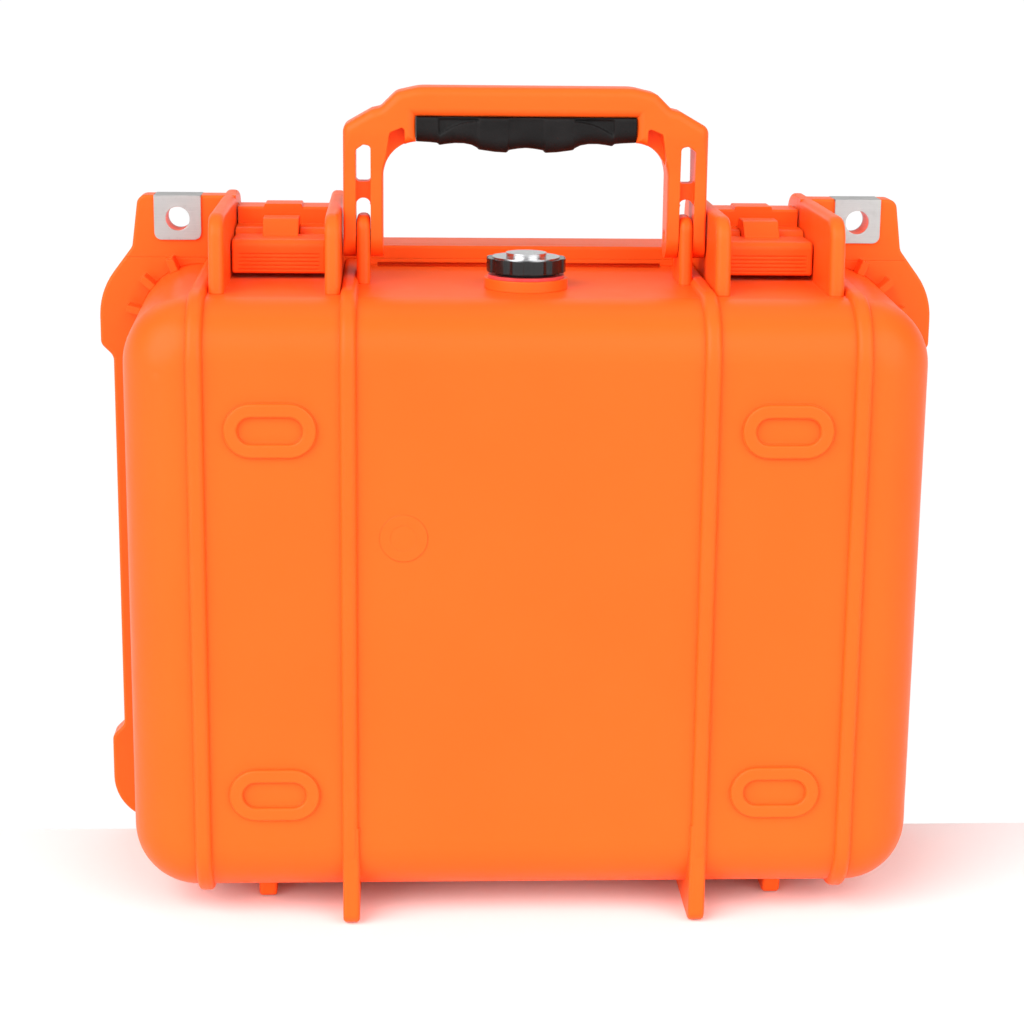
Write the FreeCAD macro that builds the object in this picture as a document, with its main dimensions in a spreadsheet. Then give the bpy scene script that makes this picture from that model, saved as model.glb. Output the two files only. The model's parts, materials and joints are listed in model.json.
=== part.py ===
import FreeCAD, Part
import math
import os

import Sketcher

# A waterproof hard case that holds a first aid kit, standing on its hinge side.
# X runs across the case, Y from the base's outer face (-Y) to the lid's (+Y), Z up.
# The origin is at floor level, in the middle of the case's footprint.

DIMENSIONS = (
    # shells
    ("half_width", 154.0), ("bottom_z", 8.0), ("top_z", 244.5), ("base_face", 73.5), ("lid_face", 73.5),
    ("parting_y", 31.0), ("parting_gap", 0.1), ("wall", 4.0), ("corner_radius", 25.0),
    ("edge_radius", 22.0), ("lid_edge_radius", 18.0), ("draft_run", 2.5), ("lid_draft_run", 1.0),
    ("rib_height", 2.5), ("rib_width", 6.3), ("inner_rib_x", 67.5), ("outer_rib_x", 123.9),
    ("rib_round", 2.2),
    # feet rings
    ("foot_x", 96.3), ("foot_top_z", 195.7), ("foot_bottom_z", 53.5), ("foot_length", 34.5),
    ("foot_height", 20.5), ("foot_wall", 5.2), ("foot_proud", 2.0),
    # flange
    ("flange_side", 165.0), ("lobe_side", 170.0), ("flange_base", 6.5), ("flange_lid", 5.5),
    ("flange_bottom", 5.4), ("lip_top", 252.2), ("bay_top", 247.0), ("lug_top", 272.0),
    ("lug_side", 153.6), ("platform_depth", 21.5), ("ledge", 4.5), ("ledge_depth", 7.5),
    ("groove_inset", 4.6), ("groove_width", 4.0), ("groove_depth", 4.3), ("tongue_width", 2.2),
    ("tongue_height", 2.0),
    # fins and ears
    ("fin_outer_x", 117.2), ("fin_inner_x", 73.7), ("fin_width", 5.8), ("fin_front", 49.0),
    ("ear_x", 62.5), ("ear_width", 5.2), ("ear_reach", 11.5), ("floor_fin_x", 67.2),
    ("floor_fin_width", 6.4), ("mid_fin_x", 101.0), ("mid_fin_width", 7.0), ("fin_round", 2.2),
    ("floor_fin_round", 1.4), ("flange_round", 1.2), ("foot_round", 0.9),
    # hinge
    ("hinge_z", 5.0), ("knuckle_radius", 4.5), ("hinge_pin_radius", 2.0), ("hinge_start", 74.0),
    ("base_knuckle", 10.0), ("lid_knuckle", 10.7), ("knuckle_gap", 0.4), ("knuckle_relief", 0.5),
    # running and assembly clearances
    ("running_clearance", 0.06),
    # handle
    ("handle_y", 11.5), ("pivot_z", 261.0), ("handle_half", 70.2), ("leg_width", 15.4),
    ("prong_radius", 8.5), ("bar_depth", 20.0), ("handle_top", 318.2), ("grip_top", 307.0),
    ("window_top", 297.4), ("grip_half", 42.3), ("handle_pin_radius", 2.5), ("ear_slot", 5.7),
    ("handle_round", 3.5),
    # latches
    ("latch_x", 95.45), ("latch_width", 36.5), ("latch_pin_y", 41.5), ("latch_pin_z", 258.5),
    ("latch_pin_radius", 2.0), ("lever_pin_y", 15.0), ("lever_pin_z", 256.0),
    ("lever_pin_radius", 1.8), ("bridge_width", 14.0), ("bridge_gap", 0.3), ("lever_round", 1.0),
    # padlock protectors
    ("padlock_x", 137.7), ("padlock_z", 262.7), ("padlock_radius", 4.8), ("plate_width", 18.8),
    ("plate_bottom", 254.2), ("plate_thickness", 1.0),
    # purge valve
    ("valve_y", 28.5), ("boss_radius", 16.0), ("boss_top", 247.0), ("stem_radius", 6.4),
    ("knob_radius", 15.2), ("knob_bottom", 249.4), ("knob_top", 254.6), ("spindle_radius", 4.0),
    # foam and supplies
    ("foam_gap", 0.4), ("foam_front", 0.0), ("roll_radius", 24.0), ("roll_length", 62.0),
    ("tape_radius", 30.0), ("tape_core_radius", 17.0), ("tape_width", 24.0),
)

doc = FreeCAD.newDocument("first_aid_case")
sheet = doc.addObject("Spreadsheet::Sheet", "Dimensions")
for row, (alias, number) in enumerate(DIMENSIONS, start=1):
    sheet.set(f"A{row}", alias)
    sheet.set(f"B{row}", str(number))
    sheet.setAlias(f"B{row}", alias)
doc.recompute()


class Size:
    """A length that knows both its value and its formula over the sheet's cells."""

    def __init__(self, value, formula):
        self.value = value
        self.formula = formula

    def combine(self, sign, other, value, swapped=False):
        other_formula = other.formula if isinstance(other, Size) else repr(float(other))
        left, right = (other_formula, self.formula) if swapped else (self.formula, other_formula)
        return Size(value, f"({left} {sign} {right})")

    def __add__(self, other):
        return self.combine("+", other, self.value + plain(other))

    def __radd__(self, other):
        return self.combine("+", other, self.value + plain(other), swapped=True)

    def __sub__(self, other):
        return self.combine("-", other, self.value - plain(other))

    def __rsub__(self, other):
        return self.combine("-", other, plain(other) - self.value, swapped=True)

    def __mul__(self, other):
        return self.combine("*", other, self.value * plain(other))

    def __rmul__(self, other):
        return self.combine("*", other, self.value * plain(other), swapped=True)

    def __truediv__(self, other):
        return self.combine("/", other, self.value / plain(other))

    def __neg__(self):
        return Size(-self.value, f"(-1 * {self.formula})")


def plain(size):
    """The number in a Size, or the number itself."""
    return size.value if isinstance(size, Size) else float(size)


class Dimensions:
    """Every cell of the sheet as a Size, by its alias."""


dim = Dimensions()
for alias, number in DIMENSIONS:
    setattr(dim, alias, Size(number, f"Dimensions.{alias}"))


def bind(item, path, size):
    """Ties one property of an object to the sheet, or sets it where the size is a plain number."""
    if isinstance(size, Size):
        item.setExpression(path, size.formula)
    elif "." in path:
        item.setExpression(path, repr(float(size)))
    else:
        setattr(item, path, float(size))


# ---------------------------------------------------------------- shapes that the pieces are made of

NORMALS = {"XY_Plane": FreeCAD.Vector(0, 0, 1), "XZ_Plane": FreeCAD.Vector(0, -1, 0),
           "YZ_Plane": FreeCAD.Vector(1, 0, 0)}


def in_space(plane, first, second):
    """A sketch point of a plane as a point in space, with nothing along the plane's normal."""
    spots = {"XY_Plane": (first, second, 0), "XZ_Plane": (first, 0, second), "YZ_Plane": (0, first, second)}
    return FreeCAD.Vector(*spots[plane])


def outline_sketch(body, plane, loops, offset):
    """Closed polygons on one of the body's own planes; each corner is tied to the sheet."""
    sketch = body.newObject("Sketcher::SketchObject", body.Name + "_outline")
    support = next(item for item in body.Origin.OriginFeatures if item.Role == plane)
    sketch.AttachmentSupport = (support, [""])
    sketch.MapMode = "FlatFace"
    bind(sketch, "AttachmentOffset.Base.z", offset)
    for loop in loops:
        first = sketch.GeometryCount
        corners = [FreeCAD.Vector(plain(corner[0]), plain(corner[1]), 0) for corner in loop]
        for index, corner in enumerate(corners):
            following = corners[(index + 1) % len(corners)]
            sketch.addGeometry(Part.LineSegment(corner, following), False)
        for index in range(len(loop)):
            following = first + (index + 1) % len(loop)
            sketch.addConstraint(Sketcher.Constraint("Coincident", first + index, 2, following, 1))
        for index, corner in enumerate(loop):
            for kind, place in (("DistanceX", corner[0]), ("DistanceY", corner[1])):
                made = sketch.addConstraint(
                    Sketcher.Constraint(kind, -1, 1, first + index, 1, plain(place)))
                if isinstance(place, Size):
                    sketch.setExpression(f"Constraints[{made}]", place.formula)
    return sketch


def edge_names(shape, wanted):
    """The names of a shape's edges that a test accepts."""
    return [f"Edge{number}" for number, edge in enumerate(shape.Edges, start=1) if wanted(edge)]


def round_edges(body, radius, wanted):
    """Rounds the edges of the body's tip that a test accepts."""
    tip = body.Tip
    names = edge_names(tip.Shape, wanted)
    if not names:
        raise ValueError(f"{body.Label}: no edge to round")
    fillet = body.newObject("PartDesign::Fillet", body.Name + "_round")
    fillet.Base = (tip, names)
    bind(fillet, "Radius", radius)
    body.Tip = fillet
    doc.recompute()
    if "Invalid" in fillet.State or not fillet.Shape.isValid():
        raise ValueError(f"{body.Label}: a round of {plain(radius)} failed")


def prism(label, plane, loops, low, high):
    """Polygons padded from low to high along X (YZ_Plane), Y (XZ_Plane) or Z (XY_Plane).
    A corner is (first, second) or (first, second, radius), and its radius rounds it."""
    body = doc.addObject("PartDesign::Body", label)
    body.Label = label
    start = -high if plane == "XZ_Plane" else low
    sketch = outline_sketch(body, plane, loops, start)
    pad = body.newObject("PartDesign::Pad", label + "_pad")
    pad.Profile = (sketch, [""])
    bind(pad, "Length", high - low)
    body.Tip = pad
    doc.recompute()
    corners = [corner for loop in loops for corner in loop if len(corner) > 2]
    normal = NORMALS[plane]
    for radius in sorted({plain(corner[2]) for corner in corners}):
        spots = [in_space(plane, plain(c[0]), plain(c[1])) for c in corners if plain(c[2]) == radius]
        source = next(corner[2] for corner in corners if plain(corner[2]) == radius)

        def at_corner(edge):
            direction = edge.Vertexes[-1].Point - edge.Vertexes[0].Point
            if direction.Length < 1e-6 or direction.cross(normal).Length > 1e-6 * direction.Length:
                return False
            flat = edge.Vertexes[0].Point - normal * edge.Vertexes[0].Point.dot(normal)
            return any(flat.distanceToPoint(spot) < 1e-4 for spot in spots)

        round_edges(body, source, at_corner)
    return body


def tray(label, half_width, low, high, face_y, rim_y, draft_run, corner, edge):
    """A drafted rounded block from its face to its rim: the outside or the hollow of a shell.
    Its sides stand draft_run further out at the rim than at the face."""
    body = doc.addObject("PartDesign::Body", label)
    body.Label = label
    towards_plus = plain(rim_y) > plain(face_y)
    width = half_width - draft_run
    loop = [(-width, low + draft_run), (width, low + draft_run), (width, high - draft_run),
            (-width, high - draft_run)]
    sketch = outline_sketch(body, "XZ_Plane", [loop], -face_y)
    pad = body.newObject("PartDesign::Pad", label + "_pad")
    pad.Profile = (sketch, [""])
    depth = rim_y - face_y if towards_plus else face_y - rim_y
    bind(pad, "Length", depth)
    pad.Reversed = towards_plus
    pad.setExpression("TaperAngle", f"atan({draft_run.formula} / {depth.formula})")
    body.Tip = pad
    doc.recompute()
    round_edges(body, corner, lambda e: abs(e.Vertexes[-1].Y - e.Vertexes[0].Y) > 1)
    face = plain(face_y)
    round_edges(body, edge, lambda e: all(abs(vertex.Y - face) < 1e-4 for vertex in e.Vertexes))
    return body


def block(label, low, high):
    """A box between two corners."""
    box = doc.addObject("Part::Box", label)
    box.Label = label
    for side, axis, start, end in zip(("Length", "Width", "Height"), "xyz", low, high):
        bind(box, side, end - start)
        bind(box, f"Placement.Base.{axis}", start)
    return box


TURNS = {"X": FreeCAD.Rotation(FreeCAD.Vector(0, 1, 0), 90),
         "Y": FreeCAD.Rotation(FreeCAD.Vector(1, 0, 0), -90),
         "Z": FreeCAD.Rotation()}


def rod(label, axis, centre, radius, length):
    """A cylinder that starts at a point and runs along +X, +Y or +Z."""
    cylinder = doc.addObject("Part::Cylinder", label)
    cylinder.Label = label
    cylinder.Placement = FreeCAD.Placement(FreeCAD.Vector(), TURNS[axis])
    bind(cylinder, "Radius", radius)
    bind(cylinder, "Height", length)
    for name, place in zip("xyz", centre):
        bind(cylinder, f"Placement.Base.{name}", place)
    return cylinder


def cone(label, centre, low_radius, high_radius, height):
    """A cone's lower part that starts at a point and runs up."""
    frustum = doc.addObject("Part::Cone", label)
    frustum.Label = label
    bind(frustum, "Radius1", low_radius)
    bind(frustum, "Radius2", high_radius)
    bind(frustum, "Height", height)
    for name, place in zip("xyz", centre):
        bind(frustum, f"Placement.Base.{name}", place)
    return frustum


def fuse(label, *pieces):
    """The union of several objects."""
    union = doc.addObject("Part::MultiFuse", label)
    union.Label = label
    union.Shapes = list(pieces)
    union.Refine = True
    return union


def cut(label, base, *tools):
    """An object less one or more others."""
    tool = tools[0] if len(tools) == 1 else fuse(label + "_tools", *tools)
    result = doc.addObject("Part::Cut", label)
    result.Label = label
    result.Base = base
    result.Tool = tool
    return result


def common(label, *pieces):
    """What several objects share."""
    result = doc.addObject("Part::MultiCommon", label)
    result.Label = label
    result.Shapes = list(pieces)
    return result


def mirrored(label, source):
    """The same object on the other side of the YZ plane."""
    mirror = doc.addObject("Part::Mirroring", label)
    mirror.Label = label
    mirror.Source = source
    mirror.Normal = FreeCAD.Vector(1, 0, 0)
    return mirror


def both_sides(label, source):
    """An object and its mirror image, in one union."""
    return fuse(label, source, mirrored(label + "_mirror", source))


def at_height(z):
    """A test for points at one height."""
    return lambda point: abs(point.Z - plain(z)) < 1e-4


def at_depth(y):
    """A test for points at one depth."""
    return lambda point: abs(point.Y - plain(y)) < 1e-4


def flat_edge(y):
    """A test for edges that lie wholly at one depth."""
    return lambda edge: all(at_depth(y)(end) for end in edge.Vertexes)


def rectangle(x_low, x_high, z_low, z_high, *radius):
    """Four corners of a rectangle, all with the same radius where one is given."""
    return [(x_low, z_low, *radius), (x_high, z_low, *radius), (x_high, z_high, *radius),
            (x_low, z_high, *radius)]


# ---------------------------------------------------------------- what both shells share

base_rim = dim.parting_y - dim.parting_gap
lid_rim = dim.parting_y + dim.parting_gap
base_face_y = -dim.base_face


def flange_outline():
    """The flange seen from the front: side lobes, padlock lugs, latch bays and the centre lip."""
    right = [
        (dim.lobe_side, dim.flange_bottom, 20.0),
        (dim.lobe_side, 43.5, 4.0),
        (dim.flange_side, 48.5, 4.5),
        (dim.flange_side, 206.5, 4.5),
        (dim.lobe_side, 211.5, 4.0),
        (dim.lobe_side, 233.0, 30.0),
        (dim.lug_side + 2.7, 251.2, 5.0),
        (dim.lug_side, dim.lug_top, 3.9),
        (dim.fin_outer_x - dim.fin_width / 2, dim.lug_top),
        (dim.fin_outer_x - dim.fin_width / 2, dim.bay_top),
        (dim.fin_inner_x + dim.fin_width / 2, dim.bay_top),
        (dim.fin_inner_x + dim.fin_width / 2, dim.lip_top),
    ]
    left = [(-corner[0], *corner[1:]) for corner in reversed(right)]
    return right + left


def ribs(label, grown):
    """Four rounded ribs that wrap a shell, cut out of a copy of it that is a rib's height larger."""
    found = []
    for side_name, x in (("inner", dim.inner_rib_x), ("outer", dim.outer_rib_x)):
        slab = block(f"{label}_{side_name}_slab", (x - dim.rib_width / 2, -90, -10),
                     (x + dim.rib_width / 2, 90.0, 260.0))
        rib = common(f"{label}_{side_name}_rib", grown, slab)
        doc.recompute()
        middle = plain(x)
        low, high = middle - dim.rib_width.value / 2, middle + dim.rib_width.value / 2
        box = rib.Shape.BoundBox
        rim = box.YMax if abs(box.YMax) < abs(box.YMin) else box.YMin

        def long_edge(edge):
            beside = all(abs(v.X - low) < 1e-4 for v in edge.Vertexes) or \
                all(abs(v.X - high) < 1e-4 for v in edge.Vertexes)
            return beside and not all(abs(v.Y - rim) < 1e-4 for v in edge.Vertexes)

        rounded = doc.addObject("Part::Fillet", f"{label}_{side_name}_rounded")
        rounded.Base = rib
        radius = dim.rib_round.value
        rounded.Edges = [(number, radius, radius) for number, edge in enumerate(rib.Shape.Edges, start=1)
                         if long_edge(edge)]
        found += [rounded, mirrored(f"{label}_{side_name}_far", rounded)]
    return found


def foot_rings(label, low_y, high_y):
    """Four raised stadium rings on a shell's face."""
    made = []
    half, height = dim.foot_length / 2, dim.foot_height / 2
    for place, z in (("top", dim.foot_top_z), ("bottom", dim.foot_bottom_z)):
        outer = rectangle(dim.foot_x - half, dim.foot_x + half, z - height, z + height,
                          dim.foot_height / 2 - 0.01)
        inner = rectangle(dim.foot_x - half + dim.foot_wall, dim.foot_x + half - dim.foot_wall,
                          z - height + dim.foot_wall, z + height - dim.foot_wall,
                          dim.foot_height / 2 - dim.foot_wall - 0.01)
        ring = prism(f"{label}_{place}_ring", "XZ_Plane", [outer, inner], low_y, high_y)
        crest = low_y if abs(plain(low_y)) > abs(plain(high_y)) else high_y
        round_edges(ring, dim.foot_round, flat_edge(crest))
        made += [ring, mirrored(f"{label}_{place}_ring_far", ring)]
    return made


def hinge_ranges(of_base):
    """Where along X the knuckles of one half stand, on the right-hand side."""
    step = dim.base_knuckle + dim.lid_knuckle + 2 * dim.knuckle_gap
    if of_base:
        return [(dim.hinge_start + step * turn, dim.hinge_start + step * turn + dim.base_knuckle)
                for turn in range(3)]
    first = dim.hinge_start + dim.base_knuckle + dim.knuckle_gap
    return [(first + step * turn, first + step * turn + dim.lid_knuckle) for turn in range(2)]


def knuckles(label, of_base):
    """One half's hinge knuckles with the webs that carry them, right-hand side."""
    made = []
    for number, (low, high) in enumerate(hinge_ranges(of_base), start=1):
        name = f"{label}_knuckle_{number}"
        barrel = rod(name + "_barrel", "X", (low, dim.parting_y, dim.hinge_z), dim.knuckle_radius,
                     high - low)
        if of_base:
            web = block(name + "_web", (low, 22.0, 1.2), (high, dim.parting_y, 9.4))
        else:
            web = block(name + "_web", (low, dim.parting_y, 1.2), (high, 40.0, 9.4))
        made += [barrel, web]
    return made


def hinge_reliefs(label, for_base):
    """Round room in one half for the other half's knuckles, right-hand side."""
    made = []
    for number, (low, high) in enumerate(hinge_ranges(not for_base), start=1):
        made.append(rod(f"{label}_relief_{number}", "X",
                        (low - dim.knuckle_gap, dim.parting_y, dim.hinge_z),
                        dim.knuckle_radius + dim.knuckle_relief, high - low + 2 * dim.knuckle_gap))
    return made


def rim_ring(label, inset, width, low_y, high_y):
    """A rounded rectangular ring, inset from the shells' outer line at the parting plane."""
    outer = rectangle(inset - dim.half_width, dim.half_width - inset, dim.bottom_z + inset,
                      dim.top_z - inset, dim.corner_radius - inset)
    inner = rectangle(inset + width - dim.half_width, dim.half_width - inset - width,
                      dim.bottom_z + inset + width, dim.top_z - inset - width,
                      dim.corner_radius - inset - width)
    return prism(label, "XZ_Plane", [outer, inner], low_y, high_y)


def gussets(label, low_y, high_y):
    """Small webs between the flange and a shell's upper corner and sides, right-hand side."""
    made = []
    inner, reach, thickness = 22.0, 8.3, 3.0
    centre_x, centre_z = dim.half_width - dim.corner_radius, dim.top_z - dim.corner_radius
    for number, angle in enumerate((15.0, 41.0, 67.0), start=1):
        along, across = math.cos(math.radians(angle)), math.sin(math.radians(angle))
        web = doc.addObject("Part::Box", f"{label}_gusset_{number}")
        turn = FreeCAD.Rotation(FreeCAD.Vector(0, -1, 0), angle)
        web.Placement = FreeCAD.Placement(FreeCAD.Vector(), turn)
        bind(web, "Length", reach)
        bind(web, "Width", high_y - low_y)
        bind(web, "Height", thickness)
        bind(web, "Placement.Base.x", centre_x + inner * along + thickness / 2 * across)
        bind(web, "Placement.Base.y", low_y)
        bind(web, "Placement.Base.z", centre_z + inner * across - thickness / 2 * along)
        made.append(web)
    for number, z in enumerate((82.0, 184.0), start=4):
        made.append(block(f"{label}_gusset_{number}", (150.0, low_y, z - thickness / 2),
                          (dim.half_width + 5.5, high_y, z + thickness / 2)))
    return made


def fin(label, x, width, profile, radius, sharp):
    """A plate that stands across the case at x, drawn in the YZ plane, with rounded edges.
    An edge stays sharp where a test accepts both of its ends."""
    body = prism(label, "YZ_Plane", [profile], x - width / 2, x + width / 2)
    sides = (plain(x - width / 2), plain(x + width / 2))

    def rounded(edge):
        ends = edge.Vertexes
        on_side = any(all(abs(end.X - side) < 1e-4 for end in ends) for side in sides)
        return on_side and not any(all(test(end) for end in ends) for test in sharp)

    round_edges(body, radius, rounded)
    return body


# ---------------------------------------------------------------- base shell

base_outer = tray("base_outer", dim.half_width, dim.bottom_z, dim.top_z, base_face_y, base_rim,
                  dim.draft_run, dim.corner_radius, dim.edge_radius)
base_grown = tray("base_grown", dim.half_width + dim.rib_height, dim.bottom_z - dim.rib_height,
                  dim.top_z + dim.rib_height, base_face_y - dim.rib_height, base_rim, dim.draft_run,
                  dim.corner_radius + dim.rib_height, dim.edge_radius + dim.rib_height)
base_hollow = tray("base_hollow", dim.half_width - dim.wall, dim.bottom_z + dim.wall,
                   dim.top_z - dim.wall, base_face_y + dim.wall, dim.parting_y + 1, dim.draft_run,
                   dim.corner_radius - dim.wall, dim.edge_radius - dim.wall)
flange_front = dim.parting_y - dim.flange_base
flange_plate = prism("flange_plate", "XZ_Plane", [flange_outline()], flange_front, base_rim)
round_edges(flange_plate, dim.flange_round, flat_edge(flange_front))

root_z = dim.top_z - 5
fin_profile = [(-dim.fin_front, root_z), (-dim.fin_front + 3, dim.lug_top, 9.0), (base_rim, dim.lug_top),
               (base_rim, root_z)]
ear_front, ear_back = -dim.handle_y - dim.ear_reach - 1, -dim.handle_y + dim.ear_reach + 2
ear_top = dim.pivot_z + 8
ear_profile = [(ear_front, root_z), (ear_front + 3.5, ear_top, 6.0), (ear_back - 4, ear_top, 6.0),
               (ear_back, root_z)]
floor_front = base_face_y - 2
floor_profile = [(floor_front, 40.0), (floor_front, 0.0, 4.5), (flange_front, 0.0), (flange_front, 12.0),
                 (-40.0, 12.0), (-55.0, 40.0)]
mid_profile = [(-49.5, 11.5), (-46.5, 0.0, 3.5), (flange_front, 0.0), (flange_front, 11.5)]

fin_ends = (at_height(root_z), at_depth(base_rim))
fin_outer_form = fin("fin_outer_form", dim.fin_outer_x, dim.fin_width, fin_profile, dim.fin_round, fin_ends)
fin_inner_form = fin("fin_inner_form", dim.fin_inner_x, dim.fin_width, fin_profile, dim.fin_round, fin_ends)
ear_form = fin("ear_form", dim.ear_x, dim.ear_width, ear_profile, dim.fin_round, (at_height(root_z),))
floor_fins = fuse(
    "floor_fins",
    fin("floor_fin", dim.floor_fin_x, dim.floor_fin_width, floor_profile, dim.floor_fin_round,
        (at_height(12.0), at_height(40.0), at_depth(flange_front), lambda point: point.Z > 11)),
    fin("mid_fin", dim.mid_fin_x, dim.mid_fin_width, mid_profile, dim.floor_fin_round,
        (at_height(11.5), at_depth(flange_front))))
rim_right = fuse("rim_right", *knuckles("base", of_base=True), *gussets("base", flange_front - 8, base_rim))
boss_form = rod("boss_form", "Z", (0.0, -dim.valve_y, root_z), dim.boss_radius, dim.boss_top - root_z)
gate_disc = rod("gate_disc", "Y", (-47.0, base_face_y - 0.3, 154.6), 9.0, 1.0)
gate_middle = rod("gate_middle", "Y", (-47.0, base_face_y - 1, 154.6), 5.0, 0.8)

tub_form = fuse("tub_form", base_outer, *ribs("base", base_grown),
                *foot_rings("base", base_face_y - dim.foot_proud, base_face_y + 1), floor_fins,
                mirrored("floor_fins_left", floor_fins), gate_disc)
rim_form = fuse("rim_form", flange_plate, rim_right, mirrored("rim_left", rim_right))
base_hollowed = cut("base_hollowed", tub_form, base_hollow)
base_ledge = rim_ring("base_ledge", dim.wall - 0.8, dim.ledge + 0.8, base_rim - dim.ledge_depth, base_rim)
tongue = rim_ring("base_tongue", dim.groove_inset - dim.tongue_width / 2, dim.tongue_width,
                  base_rim - 1, base_rim + dim.tongue_height)
base_body = fuse("base_body", base_hollowed, base_ledge, tongue)


def padlock_cuts(label, low_y, high_y):
    """The padlock hole and the seat of the steel protector on one half's lug, right-hand side."""
    seat = dim.plate_width / 2 + 0.1
    return [
        rod(label + "_padlock_hole", "Y", (dim.padlock_x, 15.0, dim.padlock_z), dim.padlock_radius, 40.0),
        block(label + "_plate_seat", (dim.padlock_x - seat, low_y, dim.lug_top - dim.plate_thickness),
              (dim.padlock_x + seat, high_y, dim.lug_top + 1)),
    ]


def hinge_bore(label, clearance):
    """The hole along the hinge axis, right-hand side."""
    return rod(label, "X", (dim.hinge_start - 2, dim.parting_y, dim.hinge_z),
               dim.hinge_pin_radius + clearance, 60.0)


base_cuts_right = fuse("base_cuts_right", *padlock_cuts("base", 20.0, 32.0),
                       *hinge_reliefs("base", for_base=True), hinge_bore("base_hinge_bore", 0.0))
base_cuts_left = mirrored("base_cuts_left", base_cuts_right)
valve_hole = rod("valve_hole", "Z", (0.0, -dim.valve_y, 225.0), dim.stem_radius + 0.1, 30.0)
lip_gap = block("lip_gap", (-57.5, flange_front - 4, dim.lip_top - 9.8),
                (57.5, base_rim - 2, dim.lip_top - 6.8))
base_shell = cut("base_shell", base_body, base_cuts_right, base_cuts_left, valve_hole, lip_gap, gate_middle)
valve_boss = cut("valve_boss", boss_form, tub_form, valve_hole)

lug_inner_x, lip_side_x = dim.fin_outer_x - dim.fin_width / 2, dim.fin_inner_x + dim.fin_width / 2
lug_zone = block("lug_zone", (lug_inner_x, 0.0, dim.bay_top), (200.0, 60.0, 300.0))
lug_zone_left = mirrored("lug_zone_left", lug_zone)
lip_zone = block("lip_zone", (-lip_side_x, 0.0, dim.bay_top), (lip_side_x, 60.0, 300.0))
flange_form = cut("flange_form", rim_form, tub_form, base_cuts_right, base_cuts_left, lip_gap)
base_flange = cut("base_flange", flange_form, lug_zone, lug_zone_left, lip_zone)
padlock_lug_right = common("padlock_lug_right", flange_form, lug_zone)
padlock_lug_left = common("padlock_lug_left", flange_form, lug_zone_left)
base_lip = common("base_lip", flange_form, lip_zone)
base_form = fuse("base_form", tub_form, rim_form)
ear_bore = rod("ear_bore", "X", (dim.ear_x - 4, -dim.handle_y, dim.pivot_z), dim.handle_pin_radius, 8.0)
base_fin_outer_right = cut("base_fin_outer_right", fin_outer_form, base_form)
base_fin_inner_right = cut("base_fin_inner_right", fin_inner_form, base_form)
handle_ear_right = cut("handle_ear_right", ear_form, base_form, ear_bore)
ledge_form = block("ledge_form", (dim.fin_inner_x, 9.0, root_z), (dim.fin_outer_x, 12.5, dim.bay_top - 0.8))
latch_ledge_right = cut("latch_ledge_right", ledge_form, base_form, fin_outer_form, fin_inner_form)
base_fins = [base_fin_outer_right, base_fin_inner_right, handle_ear_right, latch_ledge_right,
             mirrored("base_fin_outer_left", base_fin_outer_right),
             mirrored("base_fin_inner_left", base_fin_inner_right),
             mirrored("handle_ear_left", handle_ear_right),
             mirrored("latch_ledge_left", latch_ledge_right)]

# ---------------------------------------------------------------- lid shell

lid_outer = tray("lid_outer", dim.half_width, dim.bottom_z, dim.top_z, dim.lid_face, lid_rim,
                 dim.lid_draft_run, dim.corner_radius, dim.lid_edge_radius)
lid_grown = tray("lid_grown", dim.half_width + dim.rib_height, dim.bottom_z - dim.rib_height,
                 dim.top_z + dim.rib_height, dim.lid_face + dim.rib_height, lid_rim, dim.lid_draft_run,
                 dim.corner_radius + dim.rib_height, dim.lid_edge_radius + dim.rib_height)
lid_hollow = tray("lid_hollow", dim.half_width - dim.wall, dim.bottom_z + dim.wall, dim.top_z - dim.wall,
                  dim.lid_face - dim.wall, dim.parting_y - 1, dim.lid_draft_run,
                  dim.corner_radius - dim.wall, dim.lid_edge_radius - dim.wall)
lid_flange = prism("lid_flange", "XZ_Plane", [flange_outline()], lid_rim, lid_rim + dim.flange_lid)
flange_back = lid_rim + dim.flange_lid
round_edges(lid_flange, dim.flange_round, flat_edge(flange_back))
lid_platform = block("lid_platform", (-70.5, lid_rim, root_z),
                     (70.5, lid_rim + dim.platform_depth, dim.lip_top))
lid_fin_profile = [(lid_rim, root_z), (lid_rim, dim.lug_top), (57.0, dim.lug_top, 10.0), (62.0, root_z)]
lid_floor_front, lid_floor_back = dim.parting_y + 8, dim.lid_face + 2
lid_floor_profile = [(lid_floor_front, 12.0), (lid_floor_front, 0.0), (lid_floor_back, 0.0, 4.5),
                     (lid_floor_back, 36.0), (58.0, 36.0), (48.0, 12.0)]
lid_mid_profile = [(lid_floor_front, 11.5), (lid_floor_front, 0.0), (58.0, 0.0, 3.5), (61.0, 11.5)]

lid_right = fuse(
    "lid_right",
    fin("lid_fin_outer", dim.fin_outer_x, dim.fin_width, lid_fin_profile, dim.fin_round,
        (at_height(root_z), at_depth(lid_rim))),
    fin("lid_fin_inner", dim.fin_inner_x, dim.fin_width, lid_fin_profile, dim.fin_round,
        (at_height(root_z), at_depth(lid_rim))),
    fin("lid_floor_fin", dim.floor_fin_x, dim.floor_fin_width, lid_floor_profile, dim.floor_fin_round,
        (at_depth(lid_floor_front), lambda point: point.Z > 11)),
    fin("lid_mid_fin", dim.mid_fin_x, dim.mid_fin_width, lid_mid_profile, dim.floor_fin_round,
        (at_height(11.5), at_depth(lid_floor_front))),
    *knuckles("lid", of_base=False),
    *gussets("lid", lid_rim, lid_rim + dim.flange_lid + 8),
)
lid_solid = fuse("lid_solid", lid_outer, *ribs("lid", lid_grown),
                 *foot_rings("lid", dim.lid_face - 1, dim.lid_face + dim.foot_proud), lid_flange,
                 lid_platform, lid_right, mirrored("lid_left", lid_right))
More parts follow.
